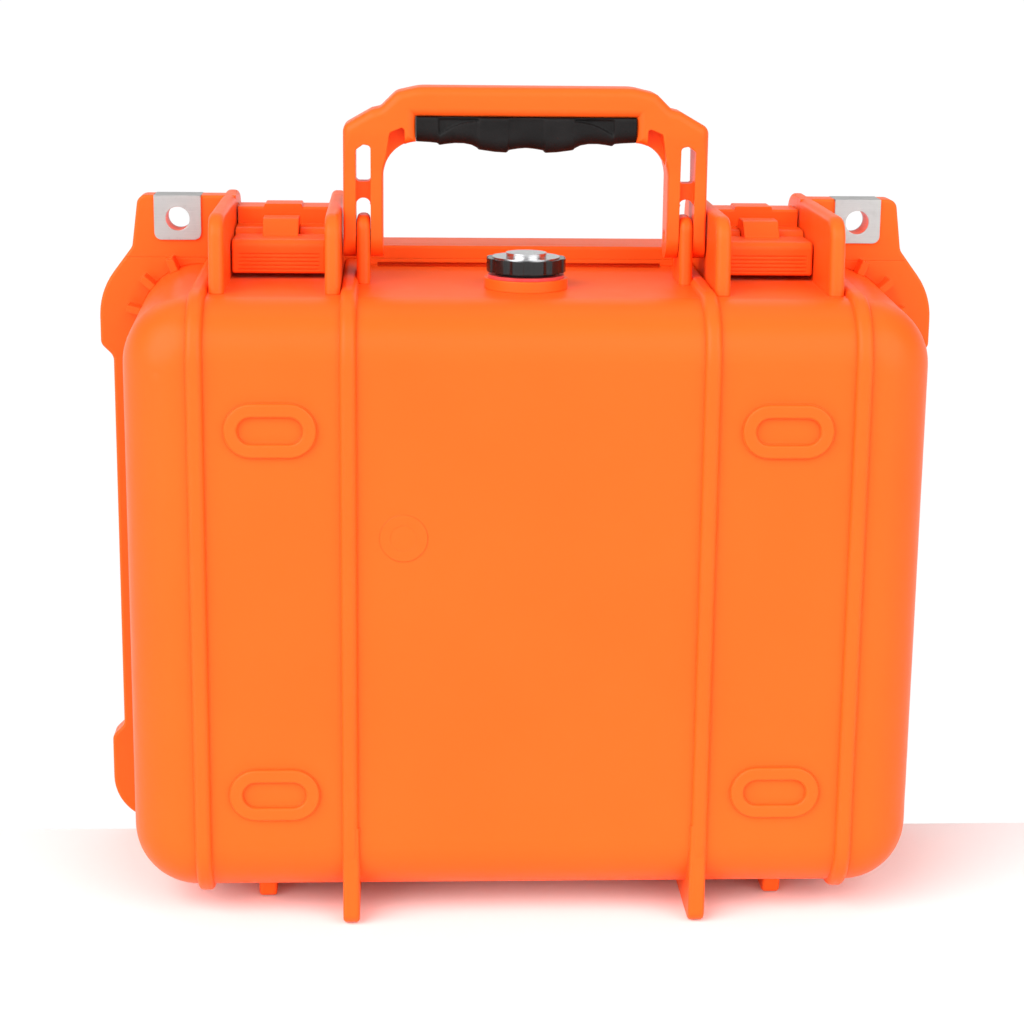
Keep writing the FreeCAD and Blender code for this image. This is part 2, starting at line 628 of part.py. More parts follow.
lid_ledge = rim_ring("lid_ledge", dim.wall - 0.8, dim.ledge + 0.8, lid_rim, lid_rim + dim.ledge_depth)
lid_body = fuse("lid_body", cut("lid_hollowed", lid_solid, lid_hollow), lid_ledge)
groove = rim_ring("lid_groove", dim.groove_inset - dim.groove_width / 2, dim.groove_width, lid_rim - 1,
                  lid_rim + dim.groove_depth)
lid_cuts = fuse("lid_cuts", *padlock_cuts("lid", 31.0, 42.0), *hinge_reliefs("lid", for_base=False),
                hinge_bore("lid_hinge_bore", dim.running_clearance),
                rod("latch_pin_bore", "X", (dim.fin_inner_x - 4, dim.latch_pin_y, dim.latch_pin_z),
                    dim.latch_pin_radius, dim.fin_outer_x - dim.fin_inner_x + 8))
plate_seat = block("name_plate_seat", (-34.0, dim.lid_face - 0.6, 182.0), (34.0, dim.lid_face + 1, 212.0))
lid_shell = cut("lid_shell", lid_body, lid_cuts, mirrored("lid_cuts_left", lid_cuts), groove, plate_seat)
name_plate = prism("name_plate", "XZ_Plane", [rectangle(-33.6, 33.6, 182.4, 211.6, 3.0)],
                   dim.lid_face - 0.6, dim.lid_face + 0.6)
seal_inset = dim.groove_inset - dim.groove_width / 2 + 0.15
lid_seal = rim_ring("lid_seal", seal_inset, dim.groove_width - 0.3,
                    base_rim + dim.tongue_height + 0.15, lid_rim + dim.groove_depth)

# ---------------------------------------------------------------- hinge pins

hinge_length = 3 * dim.base_knuckle + 2 * dim.lid_knuckle + 4 * dim.knuckle_gap
hinge_pin_right = rod("hinge_pin_right", "X", (dim.hinge_start, dim.parting_y, dim.hinge_z),
                      dim.hinge_pin_radius, hinge_length)
hinge_pin_left = mirrored("hinge_pin_left", hinge_pin_right)

# ---------------------------------------------------------------- handle

handle_front, handle_back = -dim.handle_y - dim.bar_depth / 2, -dim.handle_y + dim.bar_depth / 2
leg_inner = dim.handle_half - dim.leg_width
frame_right = [(dim.handle_half, dim.pivot_z - dim.prong_radius), (dim.handle_half, 303.3, 4.0),
               (59.3, 309.5, 2.0), (55.8, 310.3, 2.5), (49.8, 316.2, 5.0), (41.0, dim.handle_top, 18.0)]
window_right = [(leg_inner, dim.pivot_z - dim.prong_radius - 5), (leg_inner, dim.window_top, 13.4)]
grip_right = [(dim.grip_half, 290.0), (dim.grip_half, dim.grip_top)]


def with_left(right):
    """A symmetrical polygon from its right half, which starts and ends beside the middle."""
    return right + [(-corner[0], *corner[1:]) for corner in reversed(right)]


handle_slab = prism("handle_slab", "XZ_Plane", [with_left(frame_right)], handle_front, handle_back)
through = (handle_front - 1, handle_back + 1)
handle_window = prism("handle_window", "XZ_Plane", [with_left(window_right)], *through)
grip_seat = prism("grip_seat", "XZ_Plane", [with_left(grip_right)], *through)
handle_arch = cut("handle_arch", handle_slab, handle_window, grip_seat)
doc.recompute()
prong_bottom = dim.pivot_z - dim.prong_radius


def outer_edge(edge):
    """The handle's edges on its front and back, less those across the ends of its legs."""
    on_face = flat_edge(handle_front)(edge) or flat_edge(handle_back)(edge)
    return on_face and not all(at_height(prong_bottom)(end) for end in edge.Vertexes)


handle_rounded = doc.addObject("Part::Fillet", "handle_rounded")
handle_rounded.Base = handle_arch
handle_round = dim.handle_round.value
handle_rounded.Edges = [(number, handle_round, handle_round)
                        for number, edge in enumerate(handle_arch.Shape.Edges, start=1)
                        if outer_edge(edge)]
side_low, side_high = -dim.handle_y - dim.prong_radius, -dim.handle_y + dim.prong_radius
side_profile = [(side_low, prong_bottom, 8.49), (side_high, prong_bottom, 8.49),
                (side_high, 286.0, 20.0), (handle_back, 300.0, 20.0),
                (handle_back, dim.handle_top + 2), (handle_front, dim.handle_top + 2),
                (handle_front, 300.0, 20.0), (side_low, 286.0, 20.0)]
handle_side = prism("handle_side", "YZ_Plane", [side_profile], -dim.handle_half - 1, dim.handle_half + 1)
slot_low, slot_high = dim.ear_x - dim.ear_slot / 2, dim.ear_x + dim.ear_slot / 2
fork_outline = [(slot_low, 240.0), (slot_high, 240.0), (slot_high, 275.6, 2.8), (slot_low, 275.6, 2.8)]
fork_slot = prism("fork_slot", "XZ_Plane", [fork_outline], *through)
upper_outline = [(slot_low, 281.8, 1.5), (slot_high, 281.8, 1.5), (slot_high, 294.3, 1.0),
                 (62.4, 296.4, 1.0), (slot_low, 295.8, 1.5)]
upper_slot = prism("upper_slot", "XZ_Plane", [upper_outline], *through)
cross_bar_half, web_half = 4.0, 3.0
bar_outline = rectangle(slot_low, slot_high, 274.0, 283.0)
pocket_outline = [(46.6, 290.0), (54.0, 284.0), (54.0, 291.0, 2.0), (52.4, 300.9, 1.2), (46.6, 303.4, 1.2)]
reliefs = [
    prism("cross_bar_front", "XZ_Plane", [bar_outline], handle_front - 1, -dim.handle_y - cross_bar_half),
    prism("cross_bar_back", "XZ_Plane", [bar_outline], -dim.handle_y + cross_bar_half, handle_back + 1),
    prism("corner_pocket_front", "XZ_Plane", [pocket_outline], handle_front - 1, -dim.handle_y - web_half),
    prism("corner_pocket_back", "XZ_Plane", [pocket_outline], -dim.handle_y + web_half, handle_back + 1),
]
handle_bore = rod("handle_bore", "X", (leg_inner - 1, -dim.handle_y, dim.pivot_z),
                  dim.handle_pin_radius + dim.running_clearance, dim.leg_width + 2)
handle_cuts_right = fuse("handle_cuts_right", fork_slot, upper_slot, *reliefs, handle_bore)
handle_cuts = both_sides("handle_cuts", handle_cuts_right)
handle_frame = cut("handle_frame", common("handle_form", handle_rounded, handle_side), handle_cuts)
grip_edge = dim.grip_half - 0.2
grip_wave = [(4.0, 294.6, 2.0), (8.0, 293.0, 2.5), (12.5, 294.2, 2.0), (14.5, 296.0, 1.0), (24.0, 296.2),
             (27.0, 294.8, 1.5), (31.0, 294.8, 1.5), (33.0, 296.6, 1.0), (grip_edge, 297.2, 1.5),
             (grip_edge, dim.grip_top)]
handle_grip = prism("handle_grip", "XZ_Plane", [with_left(grip_wave)], handle_front + 0.6,
                    handle_back - 0.6)
handle_pin_right = rod("handle_pin_right", "X", (leg_inner + 0.5, -dim.handle_y, dim.pivot_z),
                       dim.handle_pin_radius, dim.leg_width - 1)
handle_pin_left = mirrored("handle_pin_left", handle_pin_right)

# ---------------------------------------------------------------- latches

latch_low, latch_high = dim.latch_x - dim.latch_width / 2, dim.latch_x + dim.latch_width / 2
bridge_low, bridge_high = dim.latch_x - dim.bridge_width / 2, dim.latch_x + dim.bridge_width / 2
link_front, link_bottom = 26.8, 251.5
block_profile = [(link_front, link_bottom, 2.0), (link_front, 267.4, 1.0), (46.8, 267.4, 4.0),
                 (46.8, link_bottom + 1, 4.0)]
link_block = prism("link_block", "YZ_Plane", [block_profile], latch_low, latch_high)
crest_outline = [(bridge_low - 1, 266.0), (bridge_high + 1, 266.0), (bridge_high + 0.4, 268.6, 0.6),
                 (bridge_low - 0.4, 268.6, 0.6)]
link_crest = prism("link_crest", "XZ_Plane", [crest_outline], link_front, 40.0)
arm_front = dim.lever_pin_y - 4.6
arm_profile = [(arm_front, link_bottom, 4.5), (28.0, link_bottom), (28.0, 260.6), (arm_front, 260.6, 4.5)]
link_arms = prism("link_arms", "YZ_Plane", [arm_profile], latch_low, latch_high)
bridge_room = block("bridge_room", (bridge_low - dim.bridge_gap, 5.0, 250.0),
                    (bridge_high + dim.bridge_gap, link_front - 0.1, 270.0))
link_bores = fuse(
    "link_bores",
    rod("link_pin_bore", "X", (latch_low - 1, dim.latch_pin_y, dim.latch_pin_z),
        dim.latch_pin_radius + dim.running_clearance, dim.latch_width + 2),
    rod("arm_pin_bore", "X", (latch_low - 1, dim.lever_pin_y, dim.lever_pin_z), dim.lever_pin_radius,
        dim.latch_width + 2))
link_solid = fuse("link_solid", link_block, link_arms, link_crest)
latch_link_right = cut("latch_link_right", link_solid, bridge_room, link_bores)
latch_link_left = mirrored("latch_link_left", latch_link_right)

lever_front, lever_inner, lever_back = -12.0, -9.0, 9.4
lever_bottom, lever_under, lever_top = 245.6, 255.2, 258.7
shell_profile = [(lever_front, lever_bottom, 1.0), (lever_inner, lever_bottom, 1.0),
                 (lever_inner, lever_under, 2.0), (lever_back, lever_under), (lever_back, lever_top, 1.5),
                 (lever_front, lever_top, 3.0)]
lever_shell = prism("lever_shell", "YZ_Plane", [shell_profile], latch_low, latch_high)
latch_sides = (plain(latch_low), plain(latch_high))


def outer_side_edge(edge):
    """The lever's edges on its two sides, less those of its hollow underside."""
    ends = edge.Vertexes
    on_side = any(all(abs(end.X - side) < 1e-4 for end in ends) for side in latch_sides)
    return on_side and not all(end.Y > lever_inner + 0.1 and end.Z < lever_top - 1.7 for end in ends)


round_edges(lever_shell, dim.lever_round, outer_side_edge)
cheek_profile = [(lever_front + 2, 249.5), (7.5, 249.5, 2.0), (lever_back, 257.0), (lever_front + 2, 257.0)]
cheek_width = 2.5
cheek = prism("lever_cheek", "YZ_Plane", [cheek_profile], latch_low, latch_low + cheek_width)
far_cheek = prism("lever_far_cheek", "YZ_Plane", [cheek_profile], latch_high - cheek_width, latch_high)
bridge_profile = [(0.0, 256.0), (0.0, 258.0), (7.0, 265.0, 4.0), (19.5, 265.0, 4.0), (23.6, 260.0, 2.0),
                  (23.6, 255.5, 2.0), (20.0, 252.0, 2.0), (7.0, 252.0)]
bridge = prism("lever_bridge", "YZ_Plane", [bridge_profile], bridge_low, bridge_high)
nose_profile = [(5.0, 246.6, 1.0), (8.2, 246.6, 1.0), (8.2, 256.0), (5.0, 256.0)]
nose = prism("lever_nose", "YZ_Plane", [nose_profile], latch_low + 6, latch_high - 6)
grooves = [block(f"lever_groove_{number}", (latch_low + 2.5, lever_front - 0.5, 246.9 + 1.5 * number),
                 (latch_high - 2.5, lever_front + 0.25, 247.4 + 1.5 * number)) for number in range(5)]
lever_bore = rod("lever_bore", "X", (latch_low - 1, dim.lever_pin_y, dim.lever_pin_z),
                 dim.lever_pin_radius + dim.running_clearance, dim.latch_width + 2)
lever_solid = fuse("lever_solid", lever_shell, cheek, far_cheek, bridge, nose)
latch_lever_right = cut("latch_lever_right", lever_solid, lever_bore, *grooves)
latch_lever_left = mirrored("latch_lever_left", latch_lever_right)
latch_pin_right = rod("latch_pin_right", "X",
                      (dim.fin_inner_x - dim.fin_width / 2, dim.latch_pin_y, dim.latch_pin_z),
                      dim.latch_pin_radius, dim.fin_outer_x - dim.fin_inner_x + dim.fin_width)
latch_pin_left = mirrored("latch_pin_left", latch_pin_right)
lever_pin_right = rod("lever_pin_right", "X", (latch_low, dim.lever_pin_y, dim.lever_pin_z),
                      dim.lever_pin_radius, dim.latch_width)
lever_pin_left = mirrored("lever_pin_left", lever_pin_right)

# ---------------------------------------------------------------- padlock protectors


def padlock_plate(label, leaf_low, leaf_high, fold_low, fold_high):
    """A steel plate with a hole, folded over the top of a lug."""
    low, high = dim.padlock_x - dim.plate_width / 2, dim.padlock_x + dim.plate_width / 2
    outline = [(low, dim.plate_bottom, 3.0), (high, dim.plate_bottom, 3.0), (high, dim.lug_top),
               (low, dim.lug_top)]
    leaf = prism(label + "_leaf", "XZ_Plane", [outline], leaf_low, leaf_high)
    fold = block(label + "_fold", (low, fold_low, dim.lug_top - dim.plate_thickness),
                 (high, fold_high, dim.lug_top))
    hole = rod(label + "_hole", "Y", (dim.padlock_x, 10.0, dim.padlock_z), dim.padlock_radius, 50.0)
    return cut(label, fuse(label + "_solid", leaf, fold), hole)


base_plate_right = padlock_plate("base_plate_right", flange_front - dim.plate_thickness, flange_front,
                                 flange_front - dim.plate_thickness, base_rim)
base_plate_left = mirrored("base_plate_left", base_plate_right)
lid_plate_right = padlock_plate("lid_plate_right", flange_back, flange_back + dim.plate_thickness,
                                lid_rim, flange_back + dim.plate_thickness)
lid_plate_left = mirrored("lid_plate_left", lid_plate_right)

# ---------------------------------------------------------------- purge valve

valve_x, valve_y = 0.0, -dim.valve_y


def around_valve(radius, angle):
    """A point at a radius from the valve's axis and an angle from +X, in degrees."""
    turned = FreeCAD.Rotation(FreeCAD.Vector(0, 0, 1), angle).multVec(FreeCAD.Vector(radius, 0, 0))
    return (turned.x, turned.y - dim.valve_y)


washer_top = dim.boss_top + 1.2
valve_washer = cut("valve_washer", rod("washer_disc", "Z", (valve_x, valve_y, dim.boss_top), 14.6, 1.2),
                   rod("washer_hole", "Z", (valve_x, valve_y, 245.0), dim.stem_radius + 0.1, 6.0))
valve_stem = fuse(
    "valve_stem",
    rod("stem", "Z", (valve_x, valve_y, 229.0), dim.stem_radius, washer_top - 229.0 + 0.2),
    rod("stem_head", "Z", (valve_x, valve_y, washer_top), 11.5, 0.8),
    rod("spindle", "Z", (valve_x, valve_y, washer_top), dim.spindle_radius, 4.6))
valve_body = cut("valve_body", valve_stem, rod("stem_bore", "Z", (valve_x, valve_y, 228.0), 3.0, 18.0))
valve_membrane = rod("valve_membrane", "Z", (valve_x, valve_y, 229.4), 3.0, 0.8)
nut_outline = [around_valve(11.0, 60 * turn) for turn in range(6)]
nut_blank = prism("nut_blank", "XY_Plane", [nut_outline], 231.0, 236.0)
nut_hole = rod("nut_hole", "Z", (valve_x, valve_y, 230.0), dim.stem_radius, 8.0)
valve_nut = cut("valve_nut", nut_blank, nut_hole)
valve_ring = cut("valve_ring", rod("ring_disc", "Z", (valve_x, valve_y, 236.0), 9.5, 2.0),
                 rod("ring_hole", "Z", (valve_x, valve_y, 235.0), dim.stem_radius, 4.0))
knob_blank = rod("knob_blank", "Z", (valve_x, valve_y, dim.knob_bottom), dim.knob_radius,
                 dim.knob_top - dim.knob_bottom)
scallops = [rod(f"knob_scallop_{turn}", "Z", (*around_valve(17.4, 30 * turn), 248.0), 3.0, 8.0)
            for turn in range(12)]
knob_bore = rod("knob_bore", "Z", (valve_x, valve_y, 248.0), dim.spindle_radius + dim.running_clearance,
                5.2)
cap_seat = rod("cap_seat", "Z", (valve_x, valve_y, dim.knob_top - 0.8), 13.0, 2.0)
purge_knob = cut("purge_knob", knob_blank, *scallops, knob_bore, cap_seat)
knob_cap = fuse("knob_cap", rod("cap_disc", "Z", (valve_x, valve_y, dim.knob_top - 0.8), 12.95, 1.2),
                rod("cap_boss", "Z", (valve_x, valve_y, dim.knob_top), 7.8, 1.9))

# ---------------------------------------------------------------- foam inserts

foam_gap = dim.wall + dim.foam_gap
foam_block = tray("foam_block", dim.half_width - foam_gap, dim.bottom_z + foam_gap, dim.top_z - foam_gap,
                  base_face_y + foam_gap, dim.parting_y, dim.draft_run, dim.corner_radius - foam_gap,
                  dim.edge_radius - foam_gap)
foam_back = block("foam_back", (-160.0, dim.foam_front, 0.0), (160.0, 40.0, 260.0))
valve_room = block("valve_room", (-13.5, -dim.valve_y - 13.5, 227.5), (13.5, 20.0, 260.0))


def pocket(label, x_low, x_high, z_low, z_high, depth, radius=6.0):
    """A rectangular hole cut into the base foam from its open side."""
    return prism(label, "XZ_Plane", [rectangle(x_low, x_high, z_low, z_high, radius)],
                 dim.foam_front - depth, dim.foam_front + 5)


def round_pocket(label, x, z, radius, depth):
    """A round hole cut into the base foam from its open side."""
    return rod(label, "Y", (x, dim.foam_front - depth, z), radius, depth + 5)


roll_places = [(x, z) for z in (198.0, 144.0) for x in (-112.0, -58.0)]
supply_pockets = [round_pocket(f"roll_pocket_{number}", x, z, dim.roll_radius + 0.6, 58.0)
                  for number, (x, z) in enumerate(roll_places, start=1)]
supply_pockets += [
    pocket("gauze_pocket", -137.0, -33.0, 28.0, 108.0, 50.0),
    pocket("bottle_pocket", -13.0, 27.0, 94.0, 216.0, 44.0),
    round_pocket("tape_pocket", 6.0, 56.0, dim.tape_radius + 0.6, 50.0),
    pocket("blanket_pocket", 48.0, 137.0, 176.0, 222.0, 44.0),
    pocket("triangular_pocket", 48.0, 137.0, 116.0, 164.0, 40.0),
    pocket("spare_pocket", 56.0, 137.0, 28.0, 104.0, 60.0),
    pocket("tweezers_pocket", 40.0, 50.5, 30.0, 104.0, 20.0, 3.0),
]
foam_base = cut("foam_base", foam_block, foam_back, valve_room, *supply_pockets)
lid_pad_block = tray("lid_pad_block", dim.half_width - foam_gap, dim.bottom_z + foam_gap,
                     dim.top_z - foam_gap, dim.lid_face - foam_gap, lid_rim, dim.lid_draft_run,
                     dim.corner_radius - foam_gap, dim.lid_edge_radius - foam_gap)
lid_pad_front = block("lid_pad_front", (-160.0, 20.0, 0.0), (160.0, 39.4, 260.0))
foam_lid = cut("foam_lid", lid_pad_block, lid_pad_front)

# ---------------------------------------------------------------- first-aid supplies

roll_front = dim.foam_front - 57.6
bandage_rolls = [rod(f"bandage_roll_{number}", "Y", (x, roll_front, z), dim.roll_radius, dim.roll_length)
                 for number, (x, z) in enumerate(roll_places, start=1)]


def pack(label, x_low, x_high, z_low, z_high, y_low, y_high, radius=5.0):
    """A soft packet lying flat in its pocket."""
    return prism(label, "XZ_Plane", [rectangle(x_low, x_high, z_low, z_high, radius)], y_low, y_high)


gauze_packs = [pack(f"gauze_pack_{number}", x, x + 49.6, 30.5, 105.5, -49.0, 2.0)
               for number, x in enumerate((-135.5, -84.5), start=1)]
foil_blanket = pack("foil_blanket", 50.0, 135.0, 178.0, 220.0, -43.5, 2.0)
triangular_bandage = pack("triangular_bandage", 50.0, 135.0, 118.0, 162.0, -39.5, 3.0)
bottle_x, bottle_y = 7.0, -20.0
antiseptic_bottle = fuse(
    "antiseptic_bottle",
    rod("bottle_body", "Z", (bottle_x, bottle_y, 98.0), 18.0, 84.0),
    cone("bottle_shoulder", (bottle_x, bottle_y, 182.0), 18.0, 8.0, 8.0),
    rod("bottle_neck", "Z", (bottle_x, bottle_y, 188.0), 8.0, 10.0))
bottle_cap = cut("bottle_cap", rod("cap_blank", "Z", (bottle_x, bottle_y, 191.0), 11.0, 18.0),
                 rod("cap_hole", "Z", (bottle_x, bottle_y, 190.0), 8.0, 8.0))


def sleeve(label, y_low, outer_radius, inner_radius):
    """A tube as wide as the tape, on the tape rolls' axis."""
    x, z = 6.0, 56.0
    return cut(label, rod(label + "_blank", "Y", (x, y_low, z), outer_radius, dim.tape_width),
               rod(label + "_hole", "Y", (x, y_low - 1, z), inner_radius, dim.tape_width + 2))


tape_rolls, tape_cores = [], []
for number, y_low in enumerate((-49.5, -24.5), start=1):
    tape_rolls.append(sleeve(f"tape_roll_{number}", y_low, dim.tape_radius, dim.tape_core_radius))
    tape_cores.append(sleeve(f"tape_core_{number}", y_low, dim.tape_core_radius, dim.tape_core_radius - 1.5))
tweezers_outline = [(41.0, 100.0), (41.5, 60.0), (44.0, 32.0), (45.0, 32.0), (43.2, 60.0), (43.2, 98.0),
                    (47.3, 98.0), (47.3, 60.0), (45.6, 32.0), (46.6, 32.0), (49.0, 60.0), (49.5, 100.0)]
tweezers = prism("tweezers", "XZ_Plane", [tweezers_outline], -18.0, -10.0)

# ---------------------------------------------------------------- check and write

SUB_PARTS = [
    base_shell, base_flange, padlock_lug_right, padlock_lug_left, base_lip, valve_boss, *base_fins,
    lid_shell, lid_seal, name_plate, hinge_pin_right, hinge_pin_left, handle_frame, handle_grip,
    handle_pin_right, handle_pin_left, latch_link_right, latch_link_left, latch_lever_right, latch_lever_left,
    latch_pin_right, latch_pin_left, lever_pin_right, lever_pin_left, base_plate_right, base_plate_left,
    lid_plate_right, lid_plate_left, valve_body, valve_membrane, valve_washer, valve_nut, valve_ring,
    purge_knob, knob_cap, foam_base, foam_lid, *bandage_rolls, *gauze_packs, foil_blanket,
    triangular_bandage, antiseptic_bottle, bottle_cap, *tape_rolls, *tape_cores, tweezers,
]

doc.recompute()
failed = [item.Label for item in doc.Objects if "Invalid" in item.State or "Error" in item.State]
if failed:
    raise SystemExit(f"these objects failed: {failed}")
os.makedirs("parts", exist_ok=True)
for old in os.listdir("parts"):
    os.remove(os.path.join("parts", old))
for piece in SUB_PARTS:
    shape = piece.Shape
    if shape.isNull() or not shape.isValid() or not shape.Solids:
        raise SystemExit(f"{piece.Label} has no valid solid")
    print(piece.Label, len(shape.Solids), round(shape.Volume))
    shape.exportStep(os.path.join("parts", piece.Label + ".step"))
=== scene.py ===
import json
import math
import random

import bmesh
import bpy
from mathutils import Matrix, Vector, noise


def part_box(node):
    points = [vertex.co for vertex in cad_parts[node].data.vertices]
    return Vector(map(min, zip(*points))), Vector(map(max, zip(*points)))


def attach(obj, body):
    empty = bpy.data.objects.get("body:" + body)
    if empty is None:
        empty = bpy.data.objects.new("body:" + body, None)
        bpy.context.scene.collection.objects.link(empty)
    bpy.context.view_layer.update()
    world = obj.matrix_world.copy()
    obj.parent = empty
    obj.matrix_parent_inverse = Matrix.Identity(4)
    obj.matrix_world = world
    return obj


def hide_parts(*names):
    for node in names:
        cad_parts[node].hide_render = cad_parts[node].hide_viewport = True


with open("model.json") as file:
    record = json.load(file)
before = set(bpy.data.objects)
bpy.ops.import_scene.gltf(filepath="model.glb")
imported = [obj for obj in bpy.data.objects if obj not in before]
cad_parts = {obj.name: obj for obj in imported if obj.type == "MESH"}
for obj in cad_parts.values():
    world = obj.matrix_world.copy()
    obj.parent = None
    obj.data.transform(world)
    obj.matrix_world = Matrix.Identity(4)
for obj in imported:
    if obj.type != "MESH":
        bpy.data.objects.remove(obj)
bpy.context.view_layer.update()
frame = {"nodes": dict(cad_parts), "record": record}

NODES = frame["nodes"]
MM = 0.001
random.seed(41)


# ---------------------------------------------------------------- materials

class Graph:
    """A material's node tree, built from its Principled shader outwards."""

    def __init__(self, name, **sockets):
        self.material = bpy.data.materials.new(name)
        self.material.use_nodes = True
        self.tree = self.material.node_tree
        self.shader = self.tree.nodes["Principled BSDF"]
        for socket, value in sockets.items():
            self.shader.inputs[socket.replace("_", " ")].default_value = value
        self.coordinates = self.add("ShaderNodeTexCoord").outputs["Object"]

    def add(self, kind, **settings):
        node = self.tree.nodes.new(kind)
        for name, value in settings.items():
            setattr(node, name, value)
        return node

    def feed(self, socket, source):
        if isinstance(source, bpy.types.NodeSocket):
            self.tree.links.new(source, socket)
        else:
            socket.default_value = source

    def stretch(self, scale, source=None):
        """Coordinates scaled by three factors, so a texture runs along one axis."""
        node = self.add("ShaderNodeMapping")
        self.feed(node.inputs["Vector"], source or self.coordinates)
        node.inputs["Scale"].default_value = scale
        return node.outputs["Vector"]

    def noise(self, scale, detail=3.0, vector=None, roughness=0.5, distortion=0.0):
        node = self.add("ShaderNodeTexNoise")
        self.feed(node.inputs["Vector"], vector or self.coordinates)
        node.inputs["Scale"].default_value = scale
        node.inputs["Detail"].default_value = detail
        node.inputs["Roughness"].default_value = roughness
        node.inputs["Distortion"].default_value = distortion
        return node.outputs["Fac"]

    def cells(self, scale, feature="F1", vector=None):
        node = self.add("ShaderNodeTexVoronoi", feature=feature)
        self.feed(node.inputs["Vector"], vector or self.coordinates)
        node.inputs["Scale"].default_value = scale
        return node.outputs["Distance"]

    def wave(self, scale, direction="X", distortion=0.0, vector=None, kind="BANDS"):
        node = self.add("ShaderNodeTexWave", wave_type=kind)
        if kind == "BANDS":
            node.bands_direction = direction
        self.feed(node.inputs["Vector"], vector or self.coordinates)
        node.inputs["Scale"].default_value = scale
        node.inputs["Distortion"].default_value = distortion
        return node.outputs["Fac"]

    def math(self, operation, first, second=0.5):
        node = self.add("ShaderNodeMath", operation=operation)
        self.feed(node.inputs[0], first)
        self.feed(node.inputs[1], second)
        return node.outputs[0]

    def spread(self, source, low, high, from_low=0.0, from_high=1.0):
        node = self.add("ShaderNodeMapRange")
        self.feed(node.inputs["Value"], source)
        limits = {"From Min": from_low, "From Max": from_high, "To Min": low, "To Max": high}
        for socket, value in limits.items():
            node.inputs[socket].default_value = value
        return node.outputs["Result"]

    def blend(self, factor, first, second):
        node = self.add("ShaderNodeMix", data_type="RGBA")
        self.feed(node.inputs["Factor"], factor)
        self.feed(node.inputs["A"], first)
        self.feed(node.inputs["B"], second)
        return node.outputs["Result"]

    def colour(self, factor, first, second):
        made = self.blend(factor, (*first, 1), (*second, 1))
        self.feed(self.shader.inputs["Base Color"], made)
        return made

    def recolour(self, factor, under, tint):
        made = self.blend(factor, under, (*tint, 1))
        self.feed(self.shader.inputs["Base Color"], made)
        return made

    def roughness(self, source):
        self.feed(self.shader.inputs["Roughness"], source)

    def bump(self, height, strength, distance, normal=None):
        node = self.add("ShaderNodeBump")
        node.inputs["Strength"].default_value = strength
        node.inputs["Distance"].default_value = distance
        self.feed(node.inputs["Height"], height)
        if normal is not None:
            self.feed(node.inputs["Normal"], normal)
        self.feed(self.shader.inputs["Normal"], node.outputs["Normal"])
        return node.outputs["Normal"]

    def soft_edges(self, radius):
        """The normal of a surface whose edges are rounded, and how close each point is to such an edge."""
        bevel = self.add("ShaderNodeBevel", samples=4)
        bevel.inputs["Radius"].default_value = radius
        flat = self.add("ShaderNodeNewGeometry").outputs["Normal"]
        dot = self.add("ShaderNodeVectorMath", operation="DOT_PRODUCT")
        self.feed(dot.inputs[0], bevel.outputs["Normal"])
        self.feed(dot.inputs[1], flat)
        return bevel.outputs["Normal"], self.spread(dot.outputs["Value"], 1.0, 0.0, 0.86, 0.99)


def moulded_plastic(name, first, second, edge_highlight_tint, roughness, grain, radius=0.0007):
    """Injection-moulded plastic: slow colour drift, fine spark texture, and a painted highlight: rounded
    edges painted lighter, mottled like rubbed wear.
    """
    made = Graph(name, IOR=1.49, Specular_IOR_Level=0.13)
    drift = made.noise(14, 3)
    base = made.colour(drift, first, second)
    normal, edge = made.soft_edges(radius)
    # Painted highlight: every rounded edge is tinted lighter, broken up by noise so that it also reads as
    # rubbed wear.
    edge_highlight_and_wear = made.math("MULTIPLY", edge, made.spread(made.noise(90, 4), 0.1, 0.9, 0.35, 0.7))
    made.recolour(made.math("MULTIPLY", edge_highlight_and_wear, 0.35), base, edge_highlight_tint)
    fine = made.noise(2600, 2, roughness=0.6)
    blotch = made.noise(60, 4)
    made.roughness(made.math("ADD", made.spread(blotch, roughness - 0.05, roughness + 0.06),
                             made.spread(fine, -0.04, 0.04)))
    made.bump(made.math("ADD", fine, made.math("MULTIPLY", made.noise(420, 2), 0.6)), grain, 0.00012, normal)
    return made.material


def case_plastic():
    return moulded_plastic("case_plastic", (0.93, 0.104, 0.01), (0.96, 0.119, 0.013), (1.0, 0.2, 0.038),
                           0.34, 0.35)


def plate_plastic():
    return moulded_plastic("plate_plastic", (0.022, 0.022, 0.023), (0.034, 0.034, 0.035), (0.09, 0.09, 0.09),
                           0.4, 0.35)


def core_plastic():
    return moulded_plastic("core_plastic", (0.78, 0.78, 0.75), (0.84, 0.84, 0.82), (0.9, 0.9, 0.9), 0.38, 0.2)


def cap_plastic():
    return moulded_plastic("cap_plastic", (0.022, 0.13, 0.36), (0.03, 0.17, 0.43), (0.12, 0.3, 0.6), 0.3, 0.2)


def black_plastic():
    return moulded_plastic("black_plastic", (0.016, 0.016, 0.017), (0.026, 0.026, 0.027), (0.07, 0.07, 0.07),
                           0.42, 0.4)


def knob_plastic():
    made = Graph("knob_plastic", IOR=1.5, Specular_IOR_Level=0.3, Coat_Weight=0.25, Coat_Roughness=0.08)
    made.colour(made.noise(200, 4), (0.005, 0.005, 0.0055), (0.009, 0.0085, 0.0085))
    normal, edge = made.soft_edges(0.0006)
    scuffs = made.noise(1.0, 5, made.stretch((900, 900, 240)), 0.7)
    made.roughness(made.math("ADD", made.spread(scuffs, 0.16, 0.3), made.math("MULTIPLY", edge, 0.08)))
    made.bump(scuffs, 0.08, 0.0001, normal)
    return made.material


